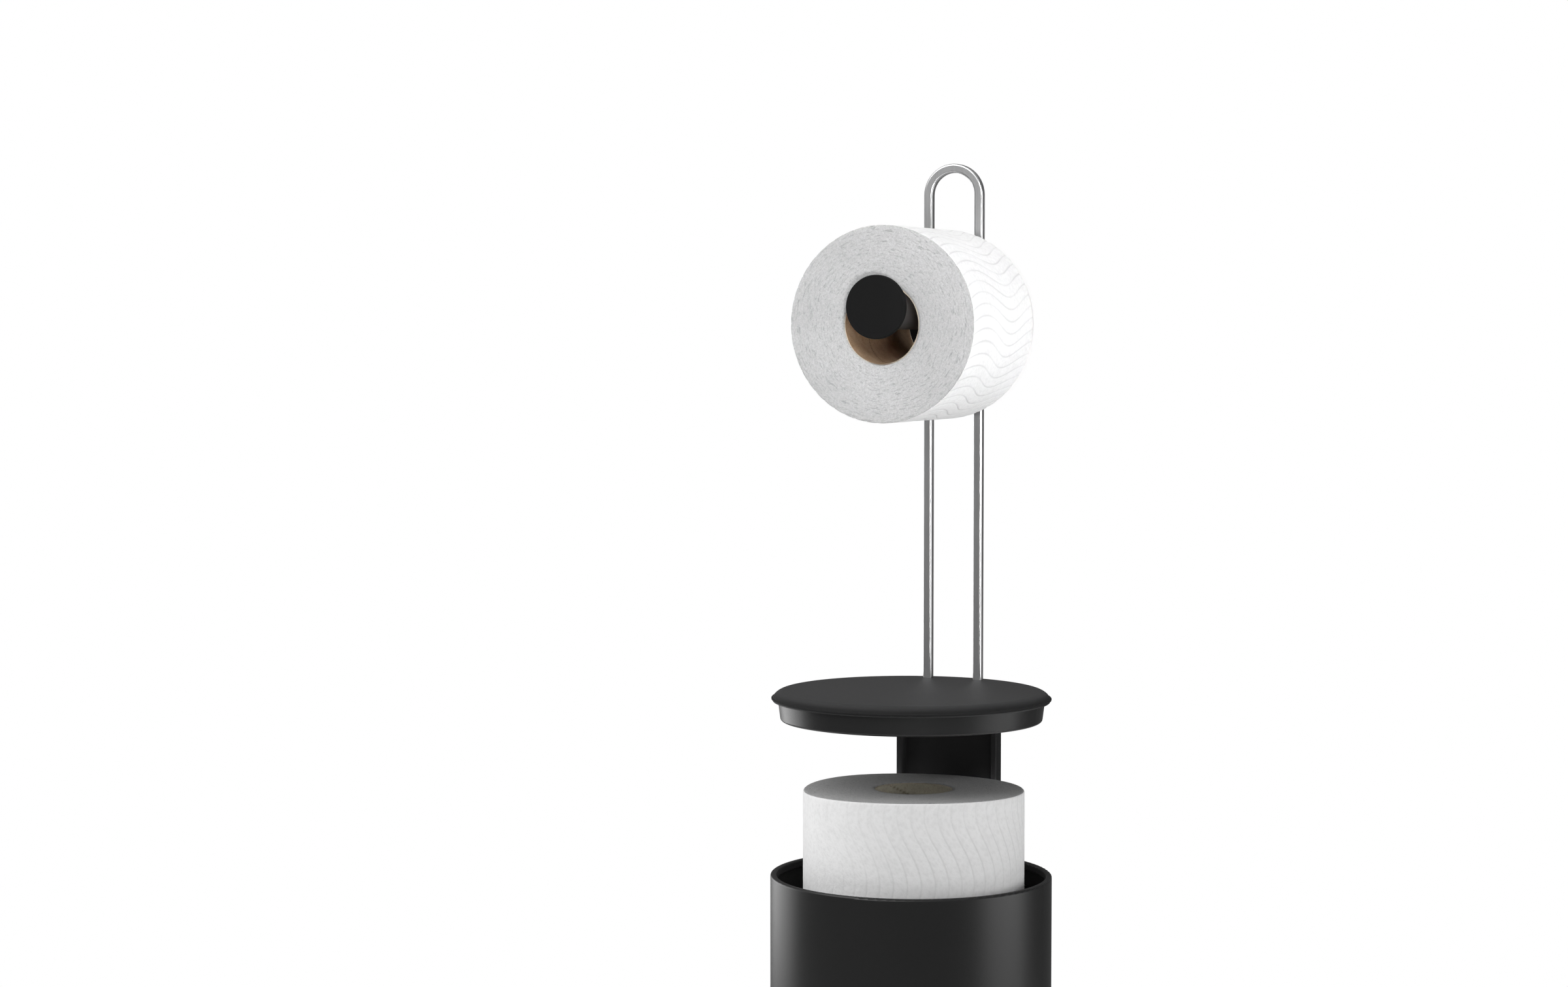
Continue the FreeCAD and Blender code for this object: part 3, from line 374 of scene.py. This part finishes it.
def felt(name, tone=0.03):
    m, nt, s = material(name)
    c = coords(nt)
    fibre = noise(nt, c, 2600.0, 5.0, 0.8, 1.2)
    clump = voronoi(nt, c, 700.0)
    nt.links.new(blend_color(nt, fibre, grey(tone * 0.6), grey(tone * 2.2)), s.inputs["Base Color"])
    s.inputs["Roughness"].default_value = 0.95
    s.inputs["Sheen Weight"].default_value = 0.4
    bump(nt, s, math_node(nt, "ADD", fibre, clump), 0.8, 0.0004)
    return m


def cast_iron(name, tone=0.08):
    m, nt, s = material(name)
    c = coords(nt)
    lump = noise(nt, c, 220.0, 6.0, 0.7)
    rust = noise(nt, c, 35.0, 5.0, 0.7)
    nt.links.new(blend_color(nt, ramp(nt, rust, [(0.55, 0.0), (0.75, 1.0)]), grey(tone), (0.11, 0.06, 0.035)), s.inputs["Base Color"])
    s.inputs["Metallic"].default_value = 0.5
    r = math_node(nt, "MULTIPLY_ADD", lump, 0.3)
    r.node.inputs[2].default_value = 0.45
    nt.links.new(r, s.inputs["Roughness"])
    bump(nt, s, lump, 0.7, 0.0005)
    return m


shell_reach, shell_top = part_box("canister_shell")[1][0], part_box("canister_shell")[1][2]
lid_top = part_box("lid_cover")[1][2]
MATS = {
    # the canister's inner face and rim top carry painted shade
    "canister_shell": black_paint("black_enamel", 0.0105, 0.33, inside=(shell_reach - 0.0008, shell_top - 0.0045, shell_reach - 0.0036, shell_top - 0.0009, shell_reach - 0.0005)),
    # the lid's rounded edge carries painted shade
    "lid_cover": black_paint("black_enamel_lid", 0.036, 0.50, gloss=0.20, edge=(lid_top - 0.0003, lid_top - 0.0032)),
    "canister_floor": satin_steel("sheet_steel", 0.42, 0.38, "X"),
    "ballast_disc": cast_iron("cast_ballast"),
    "base_cover": moulded("base_plastic", 0.018, 0.5),
    "foot_ring": rubber("foot_rubber", 0.035),
    "lid_gasket": rubber("gasket_rubber", 0.02, 0.6),
    "lid_plug": moulded("plug_plastic", 0.0130, 0.33, 1200.0, 0.00005),
    # painted light and shade: the spine's plastic is painted several times lighter than the other black plastics,
    # standing in for light that does not reach it, and its outer side faces are painted darker, as their shade
    "carriage_spine": moulded("spine_plastic", 0.0800, 0.75, 1200.0, 0.00005, gloss=0.1, shaded_flank=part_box("carriage_spine")[1][0] - 0.00025),
    "loop_clamp": moulded("clamp_plastic", 0.015, 0.5),
    "lift_tray": moulded("tray_plastic", 0.018, 0.5),
    "guide_rails": moulded("rail_plastic", 0.02, 0.45),
    "glide_shoes": moulded("glide_plastic", 0.62, 0.35, 700.0, 0.00004, (1, 1, 0.96)),
    "tray_mat": rubber("mat_foam", 0.045, 0.85),
    "tray_felt_edge": felt("edge_felt"),
    "lift_loop": satin_steel("loop_steel", 0.69, 0.31, "Z", 0.3),
    # painted light: the arm's enamel is ten times lighter than the canister's, standing in for the bounce light the
    # arm does not get
    "roll_arm": black_paint("arm_enamel", 0.105, 0.42),
    "arm_end_cap": moulded("cap_plastic", 0.0060, 0.75, 1500.0, 0.00004, gloss=0.1),
    # painted shade: the front bracket, seen through the core, is a darker copy of the rear bracket's plastic,
    # standing in for the shade there
    "arm_bracket_front": moulded("bracket_plastic_painted_shade", 0.008, 0.60, gloss=0.25),
    "arm_bracket_rear": moulded("bracket_plastic_rear", 0.016, 0.48),
}
screw_metal = satin_steel("plated_screws", 0.45, 0.32, "Z", 0.2)
for name in ("base_screws", "lid_screws", "clamp_screws", "spine_screws", "tray_screws", "bracket_screws", "stop_pins", "arm_tie_rod"):
    MATS[name] = screw_metal
for name, mat in MATS.items():
    mesh = NODES[name].data
    if len(mesh.materials):
        for i in range(len(mesh.materials)):
            NODES[name].material_slots[i].material = mat
    else:
        mesh.materials.append(mat)


# ---------------------------------------------------------------- paper materials
def attribute(nt, name):
    a = nt.nodes.new("ShaderNodeAttribute")
    a.attribute_name = name
    return a


def tissue_side(name):
    """Quilted tissue seen on its broad side: woven-looking dimples between the embossed lines, with painted shade in
    the lines, the weave hollows and the dimples.
    """
    m, nt, s = material(name)
    uv = coords(nt, source="UV")
    # UV is in millimetres: round the roll, along the roll
    dots = voronoi(nt, coords(nt, (1.0, 1.0, 1.0), (0, 0, 0.5), "UV"), 0.95, "SMOOTH_F1")
    fibre = noise(nt, coords(nt, (1.0, 0.45, 1.0), source="UV"), 2.6, 4.0, 0.75, 0.8)
    cloud = noise(nt, uv, 0.05, 3.0, 0.6)
    groove_shade = attribute(nt, "groove_depth_and_shade").outputs["Fac"]
    base = blend_color(nt, ramp(nt, cloud, [(0.3, 0.0), (0.7, 1.0)]), (0.925, 0.925, 0.925), (0.96, 0.96, 0.96))
    # painted shade: the embossed lines are painted darker grey, as the shade in their grooves
    base = blend_color(nt, math_node(nt, "MULTIPLY", groove_shade, 0.60), base, (0.62, 0.62, 0.62))
    # painted shade: the weave hollows and the dimples are painted darker, as the shade in them
    weave = voronoi(nt, coords(nt, (1.0, 0.8, 1.0), (0, 0, 0.78), "UV"), 0.50, "SMOOTH_F1")
    base = blend_color(nt, ramp(nt, weave, [(0.10, 0.30), (0.55, 0.0)]), base, (0.74, 0.74, 0.74))
    base = blend_color(nt, ramp(nt, dots, [(0.05, 0.16), (0.45, 0.0)]), base, (0.72, 0.72, 0.72))
    nt.links.new(base, s.inputs["Base Color"])
    s.inputs["Roughness"].default_value = 0.95
    s.inputs["Specular IOR Level"].default_value = 0.15
    s.inputs["Sheen Weight"].default_value = 0.15
    s.inputs["Sheen Roughness"].default_value = 0.6
    h = math_node(nt, "ADD", math_node(nt, "ADD", math_node(nt, "MULTIPLY", dots, 0.7), math_node(nt, "MULTIPLY", weave, 0.8)), math_node(nt, "MULTIPLY", fibre, 0.5))
    bump(nt, s, h, 0.55, 0.00022)
    return m


def tissue_end(name, tone=1.0):
    """The cut end of the wound tissue: a fuzz of torn layer edges in short arcs, painted mottled grey and darker
    overall than the side, as painted shade: darkest where the arcs, fuzz and grit sink, with a painted highlight on
    the high fuzz.
    """
    m, nt, s = material(name)
    # UV is in millimetres: round the roll, and outwards
    arcs = noise(nt, coords(nt, (0.17, 0.95, 1.0), source="UV"), 1.0, 5.0, 0.74, 0.5)
    fuzz = noise(nt, coords(nt, (0.9, 1.2, 1.0), source="UV"), 1.0, 5.0, 0.80, 1.2)
    grit = noise(nt, coords(nt, (1.0, 1.0, 1.0)), 780.0, 4.0, 0.75, 0.6)
    patch = noise(nt, coords(nt), 16.0, 2.0, 0.5)
    base = blend_color(nt, ramp(nt, patch, [(0.36, 0.0), (0.64, 1.0)]), white(0.72 * tone), white(0.83 * tone))
    # painted shade and highlight: darker where the arcs, fuzz and grit sink, lighter on the high fuzz
    base = blend_color(nt, ramp(nt, grit, [(0.38, 0.55), (0.58, 0.0)]), base, white(0.52 * tone))
    base = blend_color(nt, ramp(nt, fuzz, [(0.36, 0.65), (0.54, 0.0)]), base, white(0.50 * tone))
    base = blend_color(nt, ramp(nt, arcs, [(0.34, 1.0), (0.47, 0.0)]), base, white(0.42 * tone))
    base = blend_color(nt, ramp(nt, fuzz, [(0.58, 0.0), (0.74, 0.6)]), base, white(0.92 * tone))
    nt.links.new(base, s.inputs["Base Color"])
    s.inputs["Roughness"].default_value = 1.0
    s.inputs["Specular IOR Level"].default_value = 0.05
    s.inputs["Sheen Weight"].default_value = 0.15
    h = math_node(nt, "ADD", math_node(nt, "MULTIPLY", arcs, 0.8), math_node(nt, "ADD", math_node(nt, "MULTIPLY", fuzz, 0.8), math_node(nt, "MULTIPLY", grit, 0.5)))
    bump(nt, s, h, 0.8, 0.0005)
    return m


def core_board(name, dark=(0.40, 0.262, 0.160), light=(0.53, 0.365, 0.232), pale=(0.66, 0.50, 0.34), fleck_tone=(0.17, 0.105, 0.058), lip_tone=(0.74, 0.65, 0.53)):
    """Grey-brown board wound in a spiral, with pale and dark fibres."""
    m, nt, s = material(name)
    uv = coords(nt, source="UV")
    fibre = noise(nt, coords(nt, (1.0, 0.35, 1.0), (0, 0, 0.6), "UV"), 1.6, 6.0, 0.75, 1.0)
    fleck = noise(nt, uv, 0.8, 6.0, 0.85, 0.6)
    cloud = noise(nt, uv, 0.12, 3.0, 0.6)
    seam = attribute(nt, "seam").outputs["Fac"]
    lip = attribute(nt, "lip").outputs["Fac"]
    base = blend_color(nt, ramp(nt, cloud, [(0.3, 0.0), (0.7, 1.0)]), dark, light)
    base = blend_color(nt, ramp(nt, fibre, [(0.50, 0.0), (0.70, 0.6)]), base, pale)
    base = blend_color(nt, ramp(nt, fleck, [(0.32, 0.75), (0.46, 0.0)]), base, fleck_tone)
    base = blend_color(nt, math_node(nt, "MULTIPLY", seam, 0.85), base, tuple(v * 0.35 for v in dark))
    base = blend_color(nt, lip, base, lip_tone)
    nt.links.new(base, s.inputs["Base Color"])
    s.inputs["Roughness"].default_value = 0.85
    s.inputs["Specular IOR Level"].default_value = 0.2
    bump(nt, s, math_node(nt, "ADD", fibre, fleck), 0.4, 0.00012)
    return m


SIDE, END, BOARD = tissue_side("tissue_side"), tissue_end("tissue_end", 0.725), core_board("core_board")
# painted shade: the stored rolls' board is a greyer copy of the board whose lip is painted much darker than the
# hanging board's, as the shade under the lid
STORED_BOARD = core_board("stored_board", (0.33, 0.305, 0.240), (0.42, 0.39, 0.312), (0.53, 0.49, 0.40), (0.16, 0.14, 0.10), (0.42, 0.37, 0.29))
# painted shade: the stored rolls' ends are painted darker than the hanging roll's, as the shade under the lid
SHADED_STORED_END = tissue_end("stored_tissue_end_painted_shade", 0.58)


# ---------------------------------------------------------------- paper meshes
def ring_mesh(name, P, uv, mats, mat_of_row, attrs):
    """A closed ring from P[row, column, 3]; both directions wrap. uv[row, column, 2]; the last column's uv is given past the wrap."""
    rows, cols = P.shape[:2]
    idx = np.arange(rows * cols).reshape(rows, cols)
    a = idx
    b = np.roll(idx, -1, axis=1)
    d = np.roll(idx, -1, axis=0)
    c = np.roll(b, -1, axis=0)
    faces = np.stack([a, b, c, d], axis=-1).reshape(-1, 4)
    mesh = bpy.data.meshes.new(name)
    mesh.from_pydata(P.reshape(-1, 3).tolist(), [], faces.tolist())
    layer = mesh.uv_layers.new(name="UVMap")
    u0, u1 = uv[:, :-1], uv[:, 1:]
    nxt0, nxt1 = np.roll(u0, -1, axis=0), np.roll(u1, -1, axis=0)
    corner = np.stack([u0, u1, nxt1, nxt0], axis=2).reshape(-1, 2)
    layer.data.foreach_set("uv", corner.astype(np.float32).ravel())
    for label, values in attrs.items():
        at = mesh.attributes.new(label, "FLOAT", "POINT")
        at.data.foreach_set("value", values.astype(np.float32).ravel())
    for mt in mats:
        mesh.materials.append(mt)
    mesh.polygons.foreach_set("material_index", np.repeat(np.asarray(mat_of_row), cols).astype(np.int32))
    mesh.polygons.foreach_set("use_smooth", np.ones(len(faces), bool))
    mesh.update()
    mesh.validate()
    o = bpy.data.objects.new(name, mesh)
    bpy.context.scene.collection.objects.link(o)
    return o


def smooth_noise(n, terms, seed):
    """A periodic curve of n samples made of a few harmonics, about -1 to 1."""
    r = np.random.default_rng(seed)
    x = np.linspace(0, 2 * math.pi, n, endpoint=False)
    y = np.zeros(n)
    for k in terms:
        y += r.normal() * np.sin(k * x + r.uniform(0, 6.3)) / (1 + 0.15 * k)
    return y / max(1e-9, np.abs(y).max())


def tissue_roll(name, node, radius, hole, width, place, seed, rows=60, fine=True, tilt=1.0, slump=0.0, amp=6.0, wave=88.0, phase=0.0, tail=2.6, end=None, pitch_mm=7.3, rr=0.9, emboss=1.0, lift=0.0, lift_at=0.0, clear_at=None):
    """A wound roll. Sizes in millimetres. Local axis is Z from 0 to width; `place` takes it to the stand."""
    r = np.random.default_rng(seed)
    lines = int(round(2 * math.pi * radius / pitch_mm))
    offs = np.array([0.0, 0.30, 0.62, 1.0, 1.6, 2.5, 3.65, 4.8, 5.7, 6.3, 6.68, 7.0]) / 7.3 if fine else np.array([0.0, 0.12, 0.5, 0.88])
    s = (np.arange(lines)[:, None] + offs[None, :]).ravel() / lines
    theta = s * 2 * math.pi
    cell = np.tile(offs, lines)
    cols = len(theta)
    # rows of the closed profile: front end outwards, side, back end inwards, bore
    n_face = 22 if fine else 6
    face = np.linspace(hole, radius - rr, n_face)
    arc = np.linspace(0, math.pi / 2, 7 if fine else 4)[1:-1]
    side = np.linspace(rr, width - rr, rows)
    prof = [(x, 0.0, 1) for x in face]
    prof += [(radius - rr + rr * math.sin(a), rr - rr * math.cos(a), 1 if a < 0.8 else 0) for a in arc]
    prof += [(radius, z, 0) for z in side]
    prof += [(radius - rr + rr * math.cos(a), width - rr + rr * math.sin(a), 1 if a > 0.77 else 0) for a in arc]
    prof += [(x, width, 1) for x in face[::-1]]
    prof += [(hole, z, 1) for z in np.linspace(width, 0, 6)[1:-1]]
    prof = np.array(prof)
    R, Z, kind = prof[:, 0], prof[:, 1], prof[:, 2].astype(int)
    n = len(prof)
    # the wave that the embossed lines follow along the roll
    vary = 1 + 0.12 * smooth_noise(cols, (2, 3, 5), seed + 1)
    slide = 0.24 * smooth_noise(cols, (1, 2, 4), seed + 2)
    t = Z[:, None]
    x = 2 * math.pi * t / wave + phase + slide[None, :]
    swing = amp * vary[None, :] * (np.sin(x) + 0.08 * np.sin(2 * x + 0.9))
    swing = swing * np.clip((R[:, None] - hole) / (radius - hole), 0, 1)
    ang = theta[None, :] + swing / radius
    # depth: grooves on the side, fading over the rounded edge
    from_line = np.minimum(cell, 1 - cell) * pitch_mm
    groove_depth_and_shade = emboss * np.exp(-((from_line / 0.46) ** 2))[None, :] * np.ones((n, 1))
    on_side = np.clip((R - (radius - rr)) / rr, 0, 1)[:, None] ** 0.7
    strength = 0.72 + 0.28 * np.sin(0.11 * t + 5 * smooth_noise(cols, (1, 2, 3), seed + 3)[None, :])
    if clear_at is not None:
        # the lines are pressed deeper on one side than on the other
        strength = strength * (0.15 + 0.85 * np.clip(0.12 + 1.1 * np.cos(ang - clear_at), 0, 1))
    puff = 0.11 * np.sin(math.pi * cell)[None, :]
    rad = R[:, None] + on_side * (-0.20 * groove_depth_and_shade * strength + puff - 0.06)
    # the sheet's end: the outermost turn stops at `tail`, so the radius steps down there
    turn = np.mod(ang - tail, 2 * math.pi) / (2 * math.pi)
    rad = rad - on_side * 0.16 * (1 - turn)
    # slight out-of-round and, on the ends, turns that stand a little proud or back
    rad = rad - on_side * tilt * 0.20 * (1 + smooth_noise(cols, (2, 3, 4), seed + 4))[None, :] * 0.5
    z = np.repeat(Z[:, None], cols, axis=1)
    wind = np.interp(R, face, 0.08 * smooth_noise(len(face), (2, 5, 7), seed + 5))
    on_end = (kind == 1) & (R > hole + 0.01) | (R > hole + 1) & ((Z < rr) | (Z > width - rr))
    proud = wind[:, None] * 0.5 + 0.05 * np.sin(ang * 3 + R[:, None] * 0.35)
    low = (Z < width / 2)[:, None]
    z = np.where(on_end[:, None], z + np.where(low, 1, -1) * (0.12 + proud), z)
    if slump:
        # the end that shows sags between its stiffer places, most at the rim
        sag = slump * (0.5 + 0.5 * smooth_noise(cols, (2, 3, 5), seed + 6))[None, :]
        z = z - np.where(low, 0, 1) * sag * np.clip((R[:, None] - hole) / (radius - hole), 0, 1) ** 2 * np.clip((Z[:, None] - width * 0.55) / (width * 0.45), 0, 1)
    if lift:
        # the rim that stands a little proud on one side
        near = np.clip(np.cos(ang - lift_at), 0, 1) ** 1.5
        z = z + lift * near * np.clip((R[:, None] - hole) / (radius - hole), 0, 1) ** 1.4 * np.clip((Z[:, None] - width * 0.8) / (width * 0.2), 0, 1)
    P = np.stack([rad * np.cos(ang), rad * np.sin(ang), z], axis=-1) / 1000.0
    # uv in millimetres
    u = np.append(s, 1.0)[None, :] * 2 * math.pi * radius + np.zeros((n, 1))
    along = np.where(kind == 1, R, Z)[:, None] + np.zeros((1, cols + 1))
    uv = np.stack([u, along], axis=-1)
    M = np.array(place)
    P = P @ M[:3, :3].T + M[:3, 3]
    next_kind = np.maximum(kind, np.roll(kind, -1)) if rr < 1.0 else np.minimum(kind, np.roll(kind, -1))
    # the groove depth also goes out as the mask for the painted groove shade
    o = ring_mesh(name, P, uv, [SIDE, end or END], next_kind, {"groove_depth_and_shade": np.clip(groove_depth_and_shade * on_side * strength, 0, 1)})
    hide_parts(node)
    return o


def core_tube(name, node, inner, outer, width, place, seed, fine=True, board=None, seam_at=None):
    """The board tube, with a spiral seam where the plies meet. Sizes in millimetres."""
    cols = 220 if fine else 64
    zs = np.linspace(0.3, width - 0.3, 90 if fine else 12)
    prof = [(inner, z) for z in zs[::-1]] + [(outer, z) for z in zs[:: 6 if fine else 3]]
    prof = np.array(prof)
    R, Z = prof[:, 0], prof[:, 1]
    theta = np.linspace(0, 2 * math.pi, cols, endpoint=False)
    lead = 78.0
    shift = 0.31 * seed if seam_at is None else width / lead - seam_at / (2 * math.pi)
    d = np.mod(theta[None, :] / (2 * math.pi) - Z[:, None] / lead + shift, 1.0)
    d = np.minimum(d, 1 - d) * 2 * math.pi * inner * 0.87
    seam = np.exp(-((d / 0.75) ** 2))
    ruffle = 0.10 * smooth_noise(cols, (3, 5, 8, 13), seed)[None, :]
    inside = (R < (inner + outer) / 2)[:, None]
    rad = R[:, None] + np.where(inside, 0.22 * seam + 0.06 + ruffle * 0.5, -0.02 + 0 * seam)
    end = np.minimum(Z - 0.3, width - 0.3 - Z)[:, None]
    z = Z[:, None] + ruffle * (end < 0.5) * np.where(Z[:, None] < width / 2, 1, -1) + 0 * seam
    P = np.stack([rad * np.cos(theta)[None, :], rad * np.sin(theta)[None, :], z], axis=-1) / 1000.0
    M = np.array(place)
    P = P @ M[:3, :3].T + M[:3, 3]
    u = np.append(theta, 2 * math.pi)[None, :] * inner + 0 * Z[:, None]
    uv = np.stack([u, Z[:, None] + 0 * u], axis=-1)
    lip = (end < 0.25) * np.ones_like(seam)
    o = ring_mesh(name, P, uv, [board or BOARD], np.zeros(len(prof), int), {"seam": seam, "lip": lip})
    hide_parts(node)
    return o


def sizes(paper, core, axis):
    """Radius, hole, width and the two ends' centre from the CAD boxes. axis is 1 for Y, 2 for Z."""
    lo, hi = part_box(paper)
    clo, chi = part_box(core)
    mid = (clo + chi) / 2
    return (hi.x - lo.x) * 500, (chi.x - clo.x) * 500, (hi[axis] - lo[axis]) * 1000, mid, lo, hi


# the roll on the arm: local Z points to the front
rad_, hole_, wide_, mid_, lo_, hi_ = sizes("hanging_roll_paper", "hanging_roll_core", 1)
turn_ = Matrix.Rotation(math.radians(90), 4, "X")
hang = Matrix.Translation((mid_.x, hi_.y, mid_.z)) @ turn_
paper = tissue_roll("hanging_tissue", "hanging_roll_paper", rad_, hole_ + 0.03, wide_, hang, 11, rows=64, tilt=0.3, amp=4.9, wave=86.0, phase=2.08, tail=3.4, rr=0.6, emboss=1.15)
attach(paper, "hanging_roll")
board = core_tube("hanging_board", "hanging_roll_core", hole_ - 0.7, hole_, wide_, hang, 1)
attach(board, "hanging_roll")

for k, key in enumerate(("lower_roll", "middle_roll", "top_roll")):
    rad_, hole_, wide_, mid_, lo_, hi_ = sizes(key + "_paper", key + "_core", 2)
    stand = Matrix.Translation((mid_.x, mid_.y, lo_.z)) @ Matrix.Rotation(math.radians(-60 + 47 * k), 4, "Z")
    top = key == "top_roll"
    paper = tissue_roll(key + "_tissue", key + "_paper", rad_, hole_ + 0.03, wide_, stand, 21 + k, rows=64 if top else 10, fine=top, slump=0.8 if top else 0.0, amp=7.4, wave=76.0, phase=3.35, tail=2.2, end=SHADED_STORED_END, pitch_mm=8.0, rr=1.6, emboss=0.62, lift=1.9 if top else 0.0, lift_at=math.radians(-68 - 34), clear_at=math.radians(-26 - 34) if top else None)
    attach(paper, "carriage")
    board = core_tube(key + "_board", key + "_core", hole_ - 0.7, hole_, wide_, stand, 2 + k, fine=top, board=STORED_BOARD, seam_at=math.radians(154 - 34) if top else None)
    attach(board, "carriage")


# ---------------------------------------------------------------- floor
def floor():
    mesh = bpy.data.meshes.new("floor")
    ring, n = 96, 24
    verts = [(0, 0, 0)]
    faces = []
    for i in range(1, n + 1):
        reach = 1.6 * i / n
        for j in range(ring):
            a = 2 * math.pi * j / ring
            verts.append((math.cos(a) * reach, math.sin(a) * reach, 0))
    for j in range(ring):
        faces.append((0, 1 + j, 1 + (j + 1) % ring))
    for i in range(n - 1):
        for j in range(ring):
            a = 1 + i * ring + j
            b = 1 + i * ring + (j + 1) % ring
            faces.append((a, a + ring, b + ring, b))
    mesh.from_pydata(verts, [], faces)
    o = bpy.data.objects.new("floor", mesh)
    bpy.context.scene.collection.objects.link(o)
    m = bpy.data.materials.new("pale_floor")
    m.use_nodes = True
    nt = m.node_tree
    nt.nodes.clear()
    out = nt.nodes.new("ShaderNodeOutputMaterial")
    s = nt.nodes.new("ShaderNodeBsdfPrincipled")
    s.inputs["Base Color"].default_value = (0.92, 0.92, 0.92, 1)
    s.inputs["Roughness"].default_value = 0.6
    clear = nt.nodes.new("ShaderNodeBsdfTransparent")
    mix = nt.nodes.new("ShaderNodeMixShader")
    c = coords(nt)
    length = nt.nodes.new("ShaderNodeVectorMath")
    length.operation = "LENGTH"
    nt.links.new(c, length.inputs[0])
    fade = ramp(nt, length.outputs["Value"], [(0.62, 0.0), (1.0, 1.0)])
    nt.links.new(fade, mix.inputs[0])
    nt.links.new(s.outputs[0], mix.inputs[1])
    nt.links.new(clear.outputs[0], mix.inputs[2])
    nt.links.new(mix.outputs[0], out.inputs["Surface"])
    mesh.materials.append(m)
    o.location.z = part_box("foot_ring")[0].z - 0.0002


floor()
